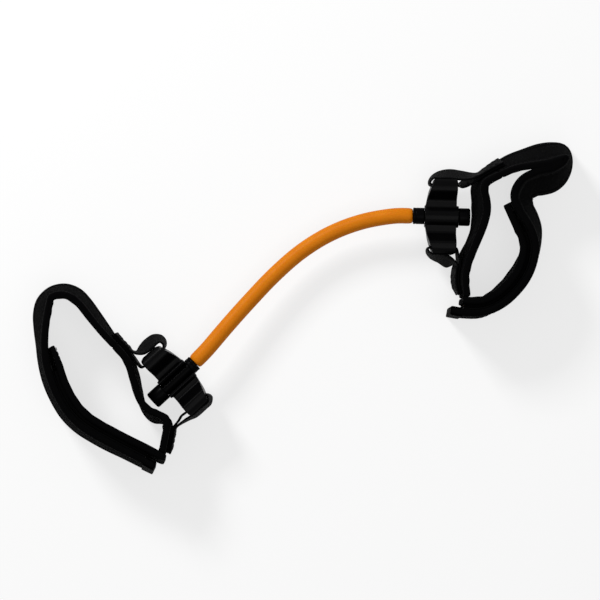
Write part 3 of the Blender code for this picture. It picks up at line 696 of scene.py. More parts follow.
brackets = []
for cuff in CUFFS:
    copied = bpy.data.objects.new(cuff.name("bracket_moulding"), bracket.data.copy())
    bpy.context.scene.collection.objects.link(copied)
    put_in_place(copied, cuff.matrix @ Matrix.Translation((cuff.slack, 0, 0)))
    bpy.ops.object.shade_smooth()
    brackets.append(dress(copied, cuff.name("cuff"), "moulded_black_plastic", cuff.name("bracket")))
bpy.data.objects.remove(bracket)
print("brackets of", count_triangles(brackets[0]), "triangles each")

# %% [markdown]
# ## The connector and the fitting
#
# The connector is a turned shape: a thick stub behind the bracket, a thinner neck that lies in the
# channel, and a nose whose bead snaps into the fitting. The fitting is a collar with a socket behind
# and a barbed spigot in front, over which the tube is pushed. A turned piece grows ring by ring: the
# end face is extruded along the axis and scaled to the next radius, and a small bevel breaks the edges.


# %% Turning a piece ring by ring
TURNED_SIDES = 64
EDGE_BREAK = 0.22 * MM
BROKEN_ANGLE = math.radians(35)
SHOULDER_BREAK = 0.4 * MM
STUB_CHAMFER = 1.1 * MM
STUB_FACET = 0.3 * MM
DIMPLE_DEPTH = 0.5 * MM

# The rings grow along Z, and this turn lays Z along the connector's axis
ALONG_CONNECTOR = Matrix(((0, 0, 1, 0), (1, 0, 0, 0), (0, 1, 0, 0), (0, 0, 0, 1)))


def turn_piece(name, profile):
    """A closed turned shape from (station, radius) pairs, starting at its front end."""
    (start, radius), rest = profile[0], profile[1:]
    select_nothing()
    bpy.ops.mesh.primitive_circle_add(
        vertices=TURNED_SIDES, radius=radius, fill_type="NGON", location=(0, 0, start)
    )
    piece = bpy.context.object
    piece.name = name
    apply_place()
    edit_mode()
    bpy.ops.mesh.select_mode(type="FACE")
    bpy.ops.mesh.select_all(action="SELECT")
    for station, wide in rest:
        bpy.ops.mesh.extrude_region_move(TRANSFORM_OT_translate={"value": (0, 0, station - start)})
        bpy.ops.transform.resize(
            value=(wide / radius, wide / radius, 1), center_override=(0, 0, station)
        )
        start, radius = station, wide
    bpy.ops.mesh.select_all(action="SELECT")
    bpy.ops.mesh.normals_make_consistent(inside=False)
    object_mode()
    apply_modifier(
        piece, "BEVEL", width=EDGE_BREAK, segments=3, limit_method="ANGLE", angle_limit=BROKEN_ANGLE,
        use_clamp_overlap=True,
    )
    bpy.ops.object.shade_smooth_by_angle(angle=BROKEN_ANGLE)
    return piece


def connector_profile(slack):
    """The neck's two shoulders follow the bracket, which has a little slack along the axis."""
    stub, neck, nose = (STUB_DIAMETER + STUB_SPREAD) / 2, NECK_DIAMETER / 2, NOSE_DIAMETER / 2
    bead = nose + BEAD_RISE
    bead_back = NECK_FRONT + NOSE_LENGTH
    bead_front = bead_back + BEAD_LENGTH
    stub_end = NECK_BACK - STUB_LENGTH - GAP
    neck_front = HOUSING_FRONT + HOUSING_SPREAD + slack + GAP / 4
    neck_back = slack - HOUSING_BACK - GAP / 2
    return [
        (bead_front, nose), (bead_front - BEAD_RISE, bead), (bead_back, bead), (bead_back, nose),
        (neck_front, nose), (neck_front, neck), (neck_back, neck), (neck_back, stub - SHOULDER_BREAK),
        (neck_back - SHOULDER_BREAK, stub), (stub_end + STUB_CHAMFER, stub),
        (stub_end + STUB_FACET, stub - 0.35 * MM), (stub_end, stub - STUB_CHAMFER),
        (stub_end, stub - 2 * STUB_CHAMFER), (stub_end + DIMPLE_DEPTH, stub - 2.5 * MM),
    ]


for cuff in CUFFS:
    connector = turn_piece(cuff.name("swivel_connector"), connector_profile(cuff.slack))
    put_in_place(connector, cuff.matrix @ ALONG_CONNECTOR)
    cover(connector, CONNECTOR_PLASTIC)
    dress(connector, cuff.name("coupling"), "connector_plastic", cuff.name("connector"))
print(connector.name, count_triangles(connector), "triangles")

# %% The fitting with its collar and barbs
BARB_DEPTH = 0.5 * MM
BARB_COUNT = 3
GROOVE_DEPTH = 0.3 * MM


def fitting_profile(slack):
    mouth = NOSE_DIAMETER / 2 + GAP
    socket = mouth + BEAD_RISE
    socket_back = NECK_FRONT + NOSE_LENGTH - GAP
    socket_front = socket_back + BEAD_LENGTH + 2 * GAP
    collar = (COLLAR_DIAMETER + COLLAR_SPREAD) / 2
    collar_back = HOUSING_FRONT + HOUSING_SPREAD + slack + GAP / 2
    barb = TUBE_DIAMETER / 2 - TUBE_WALL - GAP
    root = barb - BARB_DEPTH
    tip = COLLAR_FRONT + SPIGOT_LENGTH
    pitch = SPIGOT_LENGTH / (BARB_COUNT + 1)
    profile = [(tip, root)]
    for k in range(BARB_COUNT):
        front = tip - k * pitch
        profile += [(front - pitch, barb), (front - pitch - GAP, root)]
    profile += [(COLLAR_FRONT, root), (COLLAR_FRONT, collar - GAP), (COLLAR_FRONT - GAP, collar)]
    # A shallow groove runs round the collar, a third of the way from its front
    groove = COLLAR_FRONT - COLLAR_LENGTH / 3
    profile += [
        (groove + GAP, collar), (groove, collar - GROOVE_DEPTH), (groove - GAP, collar),
        (collar_back + GAP, collar), (collar_back, collar - GAP), (collar_back, mouth),
        (socket_back, mouth), (socket_back, socket), (socket_front, socket),
    ]
    return profile


for cuff in CUFFS:
    fitting = turn_piece(cuff.name("barbed_fitting"), fitting_profile(cuff.slack))
    put_in_place(fitting, cuff.matrix @ ALONG_CONNECTOR)
    cover(fitting, CONNECTOR_PLASTIC)
    dress(fitting, "tube_assembly", "connector_plastic", cuff.name("tube_fitting"))
print(fitting.name, count_triangles(fitting), "triangles")

# %% [markdown]
# ## The routes of the straps
#
# A strap stands on its lower edge and winds round as a wall does, so its shape is a line on the floor
# and a lean: how far the top edge has fallen outwards or inwards. The points below are given in
# millimetres in the cuff's own frame. A smooth curve runs through them, and the direction at right
# angles to it is the cuff's outside. Layers that lie on each other share one route at different
# distances from it.

# %% Points along each cuff
LEFT_ROUTES = {
    "band": (
        (-27.2, -29.1, 0.0), (-21.2, -24.6, 0.0), (-15.7, -20.6, 0.0), (-13.3, -16.9, 3.5),
        (-15.0, -13.0, 6.0), (-17.9, -9.0, 8.0), (-19.2, -3.3, 6.0), (-18.1, 4.2, 3.0),
        (-14.6, 12.2, 1.0), (-10.3, 19.8, 0.0), (-6.8, 27.0, 0.0), (-4.6, 32.6, 0.0),
    ),
    "strap": (
        (-3.9, 38.0, 0.0), (-3.9, 48.0, 0.0), (-3.1, 58.0, -2.0), (-1.8, 72.0, -3.5), (-0.7, 84.0, -4.0),
        (-1.5, 92.6, -5.0), (-5.8, 100.0, -6.0), (-13.6, 104.2, -7.5), (-21.2, 102.4, -12.0),
        (-28.4, 97.5, -12.6), (-35.5, 90.4, -10.6), (-42.9, 81.5, -8.4),
    ),
    "flap": (
        (-49.3, 72.9, -8.0), (-55.7, 61.4, -8.5), (-60.3, 49.3, -8.5), (-63.3, 35.0, -8.5),
        (-62.9, 22.2, -8.0), (-60.1, 10.7, -7.5), (-56.2, -0.8, -7.5), (-51.8, -12.3, -7.0),
        (-47.0, -24.9, -7.0), (-43.2, -35.2, -6.5), (-40.2, -43.0, -6.0),
    ),
    "tab": ((-39.6, 76.9, -8.5),),
    "upper_seam": (-4.0, 36.5),
    "lower_seam": (-16.4, -21.1),
    "join": (-3.9, 46.0),
    "hinge": (-43.2, 81.7),
    "flap_end": (-42.9, -35.9),
    "foot": (-42.9, -35.9),
}
RIGHT_ROUTES = {
    "band": (
        (-7.0, -46.8, -4.0), (-6.7, -41.0, -4.5), (-7.9, -34.0, -4.5), (-10.7, -26.0, -4.0),
        (-14.3, -18.0, -3.0), (-17.2, -10.0, -3.5), (-18.8, -3.0, -5.0), (-19.5, 5.0, -6.5),
        (-19.0, 12.0, -6.0), (-17.9, 18.0, -5.0), (-17.9, 22.2, -5.0),
    ),
    "strap": (
        (-20.2, 26.0, -5.0), (-25.0, 29.4, -6.0), (-31.0, 33.5, -8.0), (-40.5, 38.8, -10.5),
        (-52.0, 42.4, -13.0), (-62.0, 45.0, -15.0), (-70.6, 47.0, -13.5), (-76.6, 47.1, -11.0),
        (-79.2, 44.0, -7.5), (-78.5, 38.2, -9.0), (-75.0, 32.9, -12.5), (-69.6, 28.8, -14.5),
        (-63.5, 27.1, -15.0), (-57.0, 25.6, -14.5), (-50.6, 21.8, -14.5), (-47.7, 15.4, -15.0),
        (-50.0, 8.0, -13.0),
    ),
    "flap": (
        (-54.4, 0.6, -11.5), (-57.7, -7.0, -9.5), (-59.2, -18.0, -5.5), (-57.6, -29.0, -3.0),
        (-52.5, -40.7, -0.4), (-44.6, -51.8, 0.0), (-34.2, -61.4, -0.4), (-22.5, -67.4, -2.0),
        (-10.0, -68.2, -2.0), (2.3, -66.6, -2.0), (10.0, -65.2, -2.0),
    ),
    "tab": ((-38.7, 10.8, -8.0), (-42.7, 3.1, -8.5)),
    "upper_seam": (-20.9, 26.4),
    "lower_seam": (-7.7, -34.8),
    "join": (-29.8, 32.6),
    "hinge": (-49.2, 9.4),
    "flap_end": (0.9, -66.8),
    "foot": (-8.8, -68.2),
}
LEFT_INNER_REACH = 4.5 * MM
RIGHT_INNER_REACH = -7.0 * MM
COARSE = 2.5 * MM
print("routes of", len(LEFT_ROUTES["strap"]), "and", len(RIGHT_ROUTES["strap"]), "strap points")


# %% Smooth routes with a lean and an outside
def drawn(points):
    return np.array(points, float) * MM


def outward(route):
    """Unit vectors at right angles to a route, on its right-hand side, which is the cuff's outside."""
    along = np.gradient(route[:, :2], axis=0)
    along /= np.linalg.norm(along, axis=1)[:, None]
    return np.stack([along[:, 1], -along[:, 0]], axis=1)


def full_route(points):
    """Place, lean and outward direction, two columns each, every millimetre along the points."""
    route = smooth_curve(points, MM)
    normals = outward(route)
    return np.hstack([route[:, :2], normals * route[:, 2:3], normals])


def rerouted(points):
    """The same columns for a smooth curve through points that hold places and leans."""
    route = smooth_curve(np.array(points)[:, :4], MM)
    return np.hstack([route, outward(route)])


def section(route, start, end, away=0.0, spacing=MM):
    """The part of a route between two distances along it, moved outwards by away."""
    gone = distances(route)
    at = np.linspace(start, end, max(3, round(abs(end - start) / spacing) + 1))
    cut = np.stack([np.interp(at, gone, column) for column in route.T], axis=1)
    cut[:, :2] += away * cut[:, 4:6]
    return cut


def station(route, mark):
    """How far along a route its nearest point to a mark lies."""
    place = drawn([mark])[0]
    nearest = np.argmin(np.linalg.norm(route[:, :2] - place[:2], axis=1))
    return distances(route)[nearest]


class CuffRoutes:
    """The routes that one cuff's sewn pieces follow, and the distances where they start and end."""

    def __init__(self, routes, inner_reach):
        self.main = full_route(drawn([*routes["band"], *routes["strap"], *routes["flap"]]))
        self.join = station(self.main, routes["join"])
        self.hinge = station(self.main, routes["hinge"])
        self.flap_end = station(self.main, routes["flap_end"])
        self.inward = -(STRAP_THICKNESS + 2 * TAPE_THICKNESS + 3 * GAP)

        inner_end = self.flap_end + inner_reach
        shared = section(self.main, self.hinge + TAB_BLEND, inner_end, self.inward, COARSE)
        leans = (shared[:3, 2:4] * shared[:3, 4:6]).sum(axis=1)
        tab = full_route(np.vstack([drawn(routes["tab"]), np.column_stack([shared[:3, :2], leans])]))
        tab_end = np.argmin(np.linalg.norm(tab[:, :2] - shared[0, :2], axis=1))
        self.inner = np.vstack([section(tab, 0, distances(tab)[tab_end])[:-1], shared])

        under = self.inward - STRAP_THICKNESS / 2 - GAP
        foot_place = station(self.main, routes["foot"])
        foot = section(self.main, foot_place, foot_place + MM, under)[0]
        rising = foot.copy()
        rising[:2] -= foot[4:6] * BAND_FOOT
        rising[2:4] /= 2
        upper = section(self.main, 0, self.join - SEWN_GAP / 2, 0, COARSE)
        self.band = rerouted(np.vstack([foot, rising, upper]))
        self.band[0, 4:6] = -foot[5], foot[4]
        self.upper_seam = station(self.main, routes["upper_seam"])
        self.lower_seam = station(self.band, routes["lower_seam"])


LEFT.lines = CuffRoutes(LEFT_ROUTES, LEFT_INNER_REACH)
RIGHT.lines = CuffRoutes(RIGHT_ROUTES, RIGHT_INNER_REACH)
for cuff in CUFFS:
    print("strap and flap", round((cuff.lines.flap_end - cuff.lines.join) / MM, 1), "mm long")

# %% [markdown]
# ## Fabric finishes
#
# All the sewn pieces are black, and what tells them apart is how they are made: a brushed knit on the
# padding, a coarse weave on the webbing, a ribbed tape along the edges, stiff hooks and soft loops. The
# patterns follow a UV map in metres that is taken while a piece is still flat, so threads keep their
# real size and run along the strap wherever it bends.


# %% Weaves and knits on the cloth's own map
FIBRE_SCALE = 900
LINT_SCALE = 60
SHEEN_SHARE = 0.01


def cloth_map(tree):
    """The two distances along and up the cloth, in metres."""
    mapped = shader_node(tree, "ShaderNodeUVMap", uv_map="cloth")
    split = shader_node(tree, "ShaderNodeSeparateXYZ", {"Vector": mapped.outputs[0]})
    return split.outputs[0], split.outputs[1]


def wave(tree, distance, pitch):
    """A sine of a distance that repeats every two pitches."""
    return maths(tree, "SINE", maths(tree, "MULTIPLY", distance, math.pi / pitch))


def plain_weave(tree, along_pitch, up_pitch):
    """Height of a plain weave: threads one way lie over the others in every second cell."""
    along, up = cloth_map(tree)
    first, second = wave(tree, along, along_pitch), wave(tree, up, up_pitch)
    over = maths(tree, "GREATER_THAN", maths(tree, "MULTIPLY", first, second), 0.0)
    warp = maths(tree, "MULTIPLY", maths(tree, "ABSOLUTE", second), over)
    under = maths(tree, "SUBTRACT", 1.0, over)
    weft = maths(tree, "MULTIPLY", maths(tree, "ABSOLUTE", first), under)
    return maths(tree, "ADD", warp, weft)


def slanted_ribs(tree, pitch, slant):
    """Height of ribs that run across the cloth at a slant, as in a twill."""
    along, up = cloth_map(tree)
    leaned = maths(tree, "ADD", along, maths(tree, "MULTIPLY", up, slant))
    return maths(tree, "ABSOLUTE", wave(tree, leaned, pitch))


def cloth_material(name, colour, roughness, specular, height, bump, fuzz=0.0):
    made, tree, shader = new_material(name, colour, roughness, specular)
    pattern = height(tree)
    rough = noise(tree, FIBRE_SCALE, 3)
    broad = noise(tree, LINT_SCALE, 3)
    # The colour is paler on the weave's raised threads and darker in the low points between them, which is
    # painted shade; the broad noise adds real random tone, like lint.
    weave_shade_and_lint = maths(tree, "MULTIPLY", maths(tree, "ADD", pattern, broad), 0.5)
    dark, pale = tuple(c * 0.6 for c in colour), tuple(c * 1.9 for c in colour)
    tree.links.new(mix_colours(tree, weave_shade_and_lint, dark, pale), shader.inputs["Base Color"])
    whole = maths(tree, "ADD", pattern, maths(tree, "MULTIPLY", rough, 0.35 + fuzz))
    add_bump(tree, shader, whole, bump, 0.8)
    shader.inputs["Sheen Weight"].default_value = fuzz * SHEEN_SHARE
    shader.inputs["Sheen Roughness"].default_value = 0.6
    return made


PADDING = cloth_material(
    "brushed_padding_fabric", (0.0008, 0.0008, 0.0009), 0.85, 0.004,
    lambda tree: plain_weave(tree, 0.45 * MM, 0.6 * MM), 0.10 * MM, 0.3,
)
EDGE_TAPE = cloth_material(
    "edge_binding_tape", (0.0010, 0.0010, 0.0011), 0.7, 0.006,
    lambda tree: slanted_ribs(tree, 0.8 * MM, 0.0), 0.12 * MM,
)
WEBBING = cloth_material(
    "nylon_webbing", (0.0009, 0.0009, 0.0010), 0.6, 0.008,
    lambda tree: plain_weave(tree, 1.0 * MM, 1.3 * MM), 0.22 * MM,
)
HOOKS = cloth_material(
    "hook_tape", (0.0013, 0.0013, 0.0014), 0.55, 0.012,
    lambda tree: plain_weave(tree, 0.8 * MM, 0.8 * MM), 0.12 * MM,
)
LOOPS = cloth_material(
    "loop_tape", (0.0009, 0.0009, 0.0010), 0.95, 0.005,
    lambda tree: plain_weave(tree, 0.5 * MM, 0.5 * MM), 0.2 * MM, 0.6,
)
THREAD = cloth_material(
    "sewing_thread", (0.0022, 0.0022, 0.0024), 0.5, 0.014,
    lambda tree: slanted_ribs(tree, 0.3 * MM, 0.6), 0.06 * MM,
)
print("six fabric finishes")

# %% [markdown]
# ## Making flat and laying on a route
#
# A strap is easiest to model flat, with its length along X, its thickness along Y and its height along
# Z. All its detail is put in while it is straight. Then every point moves to the place on the route
# that lies as far along as the point does. A Curve modifier would do much the same, but it would turn
# the strap where it leans and lift its lower edge off the floor, so a short function does it instead.


# %% From flat to laid
def coordinates(piece):
    places = np.empty(len(piece.data.vertices) * 3)
    piece.data.vertices.foreach_get("co", places)
    return places.reshape(-1, 3)


def set_coordinates(piece, places):
    piece.data.vertices.foreach_set("co", places.ravel())
    piece.data.update()


def map_cloth(piece):
    """A UV map in metres from the flat piece: along it and up it, and over its edges."""
    layer = piece.data.uv_layers.active or piece.data.uv_layers.new()
    layer.name = "cloth"
    corners = np.empty(len(piece.data.loops), int)
    piece.data.loops.foreach_get("vertex_index", corners)
    x, y, z = coordinates(piece)[corners].T
    layer.data.foreach_set("uv", np.column_stack([x + y, z + y]).ravel())


def lay_on_route(piece, cuff, route):
    """Move each point of a flat piece to its place along a route."""
    flat = coordinates(piece)
    gone = distances(route)
    a, across, lean_a, lean_across, out_a, out_across = (
        np.interp(flat[:, 0], gone, column) for column in route.T
    )
    size = np.hypot(out_a, out_across)
    out_a, out_across = out_a / size, out_across / size
    past = flat[:, 0] - np.clip(flat[:, 0], 0, gone[-1])
    leaned = (flat[:, 2] - AXIS_HEIGHT) / STRAP_HEIGHT
    a = a + out_a * flat[:, 1] + lean_a * leaned - out_across * past
    across = across + out_across * flat[:, 1] + lean_across * leaned + out_a * past
    laid = np.outer(a, cuff.along) + np.outer(across, cuff.across)
    laid += np.array([cuff.origin.x, cuff.origin.y, 0])
    laid[:, 2] = flat[:, 2]
    set_coordinates(piece, laid)


def face_outwards(piece):
    work_on(piece)
    edit_mode()
    bpy.ops.mesh.select_all(action="SELECT")
    bpy.ops.mesh.normals_make_consistent(inside=False)
    object_mode()
    bpy.ops.object.shade_smooth()


print("laying functions ready")

# %% [markdown]
# ## Padded straps
#
# Each strap is foam between two layers of fabric. Its long edges are closed by a folded tape with a
# row of stitches, which presses the foam flat there, and the foam swells again between the two tapes.
# The section below gives half the thickness at each height from an edge. A block with one loop for
# each of those heights takes that section, one round of subdivision softens it, and where the strap
# bends, the fabric on its hollow side gathers into small folds.

# %% The section of a padded strap
EDGE_SECTION = (
    (0.0, 1.35), (0.25, 1.95), (0.7, 2.38), (1.3, 2.62), (2.2, 2.70), (4.0, 2.70), (5.4, 2.66),
    (6.2, 2.50), (6.7, 2.34), (7.2, 2.50), (7.9, 2.62), (8.25, 2.16), (9.2, 2.22), (11.0, 2.42),
    (13.5, 2.57), (17.0, 2.65), (21.0, 2.68), (25.0, 2.68),
)
TAPE_EDGE = 8.1 * MM
STITCH_HEIGHT = 6.7 * MM
STITCH_DEPTH = 2.34 * MM
RING_SPACING = 2.4 * MM
MOST_CUTS = 100
FOLD_PITCH = 10.5 * MM
FOLD_DEPTH = 0.2 * MM
FOLD_DRIFT = 17 * MM
WAVINESS = 0.06 * MM
WAVE_LENGTHS = (11 * MM, 29 * MM)
TIGHT_BEND = 0.035 / MM
SWELL_BEND = 0.16 / MM
SWELL = 1.4 * MM
TAB_THINNING = 14.0 * MM
TAB_TAPER = {"left": 0.6, "right": 0.95}
END_TAPER = 0.82
SEAM_TAPER = 0.99


def bend_of(route):
    """How sharply a route bends, in turns per metre of length, positive towards its outside."""
    direction = np.unwrap(np.arctan2(route[:, 4], -route[:, 5]) * -1)
    gone = distances(route)
    bend = np.gradient(direction, gone)
    window = np.ones(9) / 9
    return np.convolve(np.pad(bend, 4, mode="edge"), window, mode="valid")


def make_padding(name, cuff, route, free_inside, free_outside, tapers, first_run=MM / 10):
    """A padded strap as long as its route. The two free ranges are where folds have room."""
    length = distances(route)[-1]
    strap = add_block(name, (0, -STRAP_THICKNESS / 2, 0), (length, STRAP_THICKNESS / 2, STRAP_HEIGHT))
    rows = 2 * (len(EDGE_SECTION) - 1)
    rings = min(MOST_CUTS, round(length / RING_SPACING))
    edit_mode()
    cut_along(strap, 1, 3)
    cut_along(strap, 2, rows - 1)
    cut_along(strap, 0, rings)
    object_mode()

    places = coordinates(strap)
    row = np.rint(places[:, 2] / STRAP_HEIGHT * rows).astype(int)
    nearest = np.minimum(row, rows - row)
    heights, halves = np.array(EDGE_SECTION).T * MM
    places[:, 1] *= halves[nearest] / (STRAP_THICKNESS / 2)
    places[:, 2] = np.where(row <= rows / 2, heights[nearest], STRAP_HEIGHT - heights[nearest])
    places[:, 1] *= 1 - (1 - tapers[0]) * np.clip(1 - places[:, 0] / first_run, 0, 1)
    places[places[:, 0] > length - MM / 10, 1] *= tapers[1]
    set_coordinates(strap, places)
    apply_modifier(strap, "SUBSURF", levels=1, render_levels=1)
    map_cloth(strap)

    places = coordinates(strap)
    bend = np.interp(places[:, 0], distances(route), bend_of(route))
    side = np.sign(places[:, 1])
    hollow = np.clip(side * bend / TIGHT_BEND, 0, 1)
    for facing, (first, last) in ((-1, free_inside), (1, free_outside)):
        inside = (side == facing) & ((places[:, 0] < first) | (places[:, 0] > last))
        hollow[inside] = 0
    centre = np.sin(math.pi * places[:, 2] / STRAP_HEIGHT)
    drift = 1.3 * np.sin(places[:, 0] / FOLD_DRIFT) + 2.2 * centre
    fold = np.sin(2 * math.pi * places[:, 0] / FOLD_PITCH + drift)
    short, long = (places[:, 0] / wave_length for wave_length in WAVE_LENGTHS)
    slow = np.sin(short + 3 * centre) + np.sin(long + 1.0)
    swollen = np.where(hollow > 0, np.clip(side * bend / SWELL_BEND - 0.3, 0, 1), 0)
    push = hollow * FOLD_DEPTH * (fold + 0.4) - WAVINESS * (slow + 2) + SWELL * swollen
    places[:, 1] += side * push * np.clip(np.abs(places[:, 1]) / MM, 0, 1)
    set_coordinates(strap, places)
    lay_on_route(strap, cuff, route)
    face_outwards(strap)

    cover(strap, PADDING, EDGE_TAPE)
    for face in strap.data.polygons:
        from_edge = min(face.center.z, STRAP_HEIGHT - face.center.z)
        face.material_index = 1 if from_edge < TAPE_EDGE else 0
    return strap


print("bend limit for folds: radius", round(1 / TIGHT_BEND / MM, 1), "mm")

# %% [markdown]
# ## Stitches
#
# A lockstitch shows as a row of short, slightly sunk dashes of thread. One dash is modelled, as a thin
# six-sided rod with its ends drawn in, and an Array modifier repeats it along a line. Rows are joined
# into one piece for each strap and laid on the same route as the strap, so they stay in their seam.

# %% One stitch and a row of them
STITCH_LENGTH = 2.5 * MM
STITCH_PITCH = 3.3 * MM
SEAM_END = 1.5 * MM
THREAD_RADIUS = 0.24 * MM


def make_stitch_row(start, end, y, z, slope=0.0):
    """A row of stitches from one distance along the strap to another, at a depth and a height."""
    run = math.hypot(end - start, slope)
    count = max(1, int(run / STITCH_PITCH))
    select_nothing()
    bpy.ops.mesh.primitive_cylinder_add(
        vertices=6, radius=THREAD_RADIUS, depth=STITCH_LENGTH,
        location=(STITCH_LENGTH / 2, 0, 0), rotation=(0, math.pi / 2, 0),
    )
    row = bpy.context.object
    apply_place()
    edit_mode()
    cut_along(row, 0, 3)
    for end_x in (0, STITCH_LENGTH):
        pick(row, "VERT", lambda v: abs(v.co.x - end_x) < THREAD_RADIUS / 2)
        bpy.ops.transform.resize(value=(1, 0.45, 0.45), center_override=(end_x, 0, 0))
    object_mode()
    apply_modifier(
        row, "ARRAY", count=count, use_relative_offset=False, use_constant_offset=True,
        constant_offset_displace=(run / count, 0, 0),
    )
    places = coordinates(row)
    places[:, 2] += places[:, 0] * slope / run
    places[:, 0] = start + places[:, 0] * (end - start) / run
    places[:, 1] += y
    places[:, 2] += z
    set_coordinates(row, places)
    return row


def join_pieces(name, pieces):
    select_nothing()
    for piece in pieces:
        piece.select_set(True)
    bpy.context.view_layer.objects.active = pieces[0]
    bpy.ops.object.join()
    joined = bpy.context.object
    joined.name = name
    return joined


def finish_stitches(name, rows, cuff, route):
    stitches = join_pieces(name, rows)
    map_cloth(stitches)
    lay_on_route(stitches, cuff, route)
    face_outwards(stitches)
    cover(stitches, THREAD)
    return stitches


def edge_stitches(name, cuff, route, outer=True, inner=True):
    """The seam rows of a strap: one near each edge, on the faces that are asked for."""
    length = distances(route)[-1]
    faces = [side for side, wanted in ((1, outer), (-1, inner)) if wanted]
    rows = [
        make_stitch_row(SEAM_END, length - SEAM_END, side * (STITCH_DEPTH + THREAD_RADIUS / 3), height)
        for side in faces
        for height in (STITCH_HEIGHT, STRAP_HEIGHT - STITCH_HEIGHT)
    ]
    return finish_stitches(name, rows, cuff, route)


print("stitches of", round(STITCH_LENGTH / MM, 1), "mm every", round(STITCH_PITCH / MM, 1), "mm")

# %% [markdown]
# ## The straps of both cuffs
#
# The outer strap and the closing flap are one length of padding on the real cuff, and it folds where
# the flap is pulled open. So it is one piece here too, with its place baked into its points, and it
# rides on no body. The back band and the inner strap each ride on the cuff.


def bend_with_flap(piece, cuff, slot, *nodes):
    cuff.name("cuff")
    cuff.name("flap")
    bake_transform(piece)
    if nodes:
        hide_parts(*nodes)
    return piece


for cuff in CUFFS:
    lines = cuff.lines
    nowhere, everywhere = (0.0, 0.0), (0.0, 1.0)
    main = section(lines.main, lines.join + SEWN_GAP / 2, lines.flap_end)
    before_tape = (0.0, lines.hinge - lines.join)
    strap = make_padding(
        cuff.name("padded_strap"), cuff, main, before_tape, everywhere, (SEAM_TAPER, END_TAPER)
    )
    bend_with_flap(strap, cuff, "padded_strap_fabric", cuff.name("outer_strap"), cuff.name("closing_flap"))
    seams = edge_stitches(cuff.name("strap_stitching"), cuff, main)
    bend_with_flap(seams, cuff, "nylon_webbing")

    inner = make_padding(
        cuff.name("inner_padding"), cuff, lines.inner, everywhere, nowhere,
        (TAB_TAPER[cuff.side], END_TAPER), TAB_THINNING,
    )
    dress(inner, cuff.name("cuff"), "padded_strap_fabric", cuff.name("inner_strap"))
    seams = edge_stitches(cuff.name("inner_stitching"), cuff, lines.inner, outer=False)
    dress(seams, cuff.name("cuff"), "nylon_webbing")

    band = make_padding(
        cuff.name("back_padding"), cuff, lines.band, everywhere, everywhere, (1.1, SEAM_TAPER)
    )
    dress(band, cuff.name("cuff"), "padded_strap_fabric", cuff.name("back_band"))
    seams = edge_stitches(cuff.name("back_stitching"), cuff, lines.band)
    dress(seams, cuff.name("cuff"), "nylon_webbing")
    print(cuff.side, "strap, inner strap and band", [count_triangles(p) for p in (strap, inner, band)])

# %% [markdown]
# ## Webbing loops
#
# Each loop is one strip of 25 mm nylon webbing. It starts as a tail sewn to the cuff, passes through
# the bracket's slot and round its end bar, and comes back to a second tail on top of the first. Woven
# webbing is thinner at its two selvedges, and a box of stitches holds the tails.

# %% The strips and their box stitches
LOOPS_OF_WEBBING = {}
LOOPS_OF_WEBBING["left", "upper"] = {
    "behind": ((-0.7, 9.5, 0.0, 0.0), (-1.3, 5.5, 0.0, 0.0), (-1.6, 2.6, 0.0, 0.0), (-0.9, 0.5, 0.0, 0.0)),
    "before": ((18.8, 0.1, 0.0, 0.0), (21.2, 1.4, -2.0, 0.0), (22.4, 3.8, -5.0, -2.0)),
    "round": (
        (22.0, 1.6, -6.0, -7.0), (19.0, 3.9, -3.0, -14.0), (13.0, 4.5, 0.0, -17.0), (6.5, 4.7, 0.0, -13.0),
        (3.0, 5.9, 0.0, -4.0),
    ),
}
LOOPS_OF_WEBBING["left", "lower"] = {
    "behind": ((-7.4, 0.6, 0.0, 0.0), (-3.4, -0.6, 0.0, 0.0), (-1.2, -0.3, 0.0, 0.0)),
    "before": ((18.8, 0.0, 0.0, 0.0), (19.9, 1.0, 0.0, 0.0), (20.0, 2.8, -3.0, 3.0)),
    "round": ((17.2, 0.7, 0.0, 5.0), (12.0, 0.8, 0.0, 6.0), (3.0, 0.5, 0.0, 6.0), (-2.6, -1.0, 0.0, 4.0)),
}
LOOPS_OF_WEBBING["right", "upper"] = {
    "behind": (
        (-13.6, 4.4, 0.0, -9.0), (-8.0, 2.0, 0.0, -12.0), (-4.6, 0.6, 0.0, -9.0),
        (-2.4, 0.0, 0.0, -2.0),
    ),
    "before": ((16.6, 0.1, 0.0, 0.0), (17.4, 1.3, 0.0, 0.0), (16.9, 3.3, -1.0, -2.0)),
    "round": (
        (14.8, 0.8, 0.0, -6.0), (10.4, 2.1, 0.0, -12.0), (3.0, 2.9, 0.0, -15.0), (-6.0, 2.2, 0.0, -14.0),
        (-13.0, 2.3, 0.0, -9.0),
    ),
}
LOOPS_OF_WEBBING["right", "lower"] = {
    "behind": ((-4.4, 8.4, -3.0, 0.0), (-3.6, 5.0, -1.0, 0.0), (-3.1, 2.4, 0.0, 0.0), (-2.4, 0.5, 0.0, 0.0)),
    "before": ((16.6, 0.1, 0.0, 0.0), (17.7, 1.4, 0.0, 0.0), (17.4, 3.2, -1.0, 2.0)),
    "round": ((14.8, 0.8, 0.0, 6.0), (9.2, 2.2, 0.0, 12.0), (2.6, 4.9, -3.0, 14.0)),
}
SELVEDGE = ((0.0, 0.42), (0.4, 0.66), (1.1, 0.76), (2.2, 0.80), (6.0, 0.80), (12.5, 0.80))
BOX_MARGIN = 2.5 * MM
LONG_TAIL = {"left": 0.0, "right": 3.5 * MM}


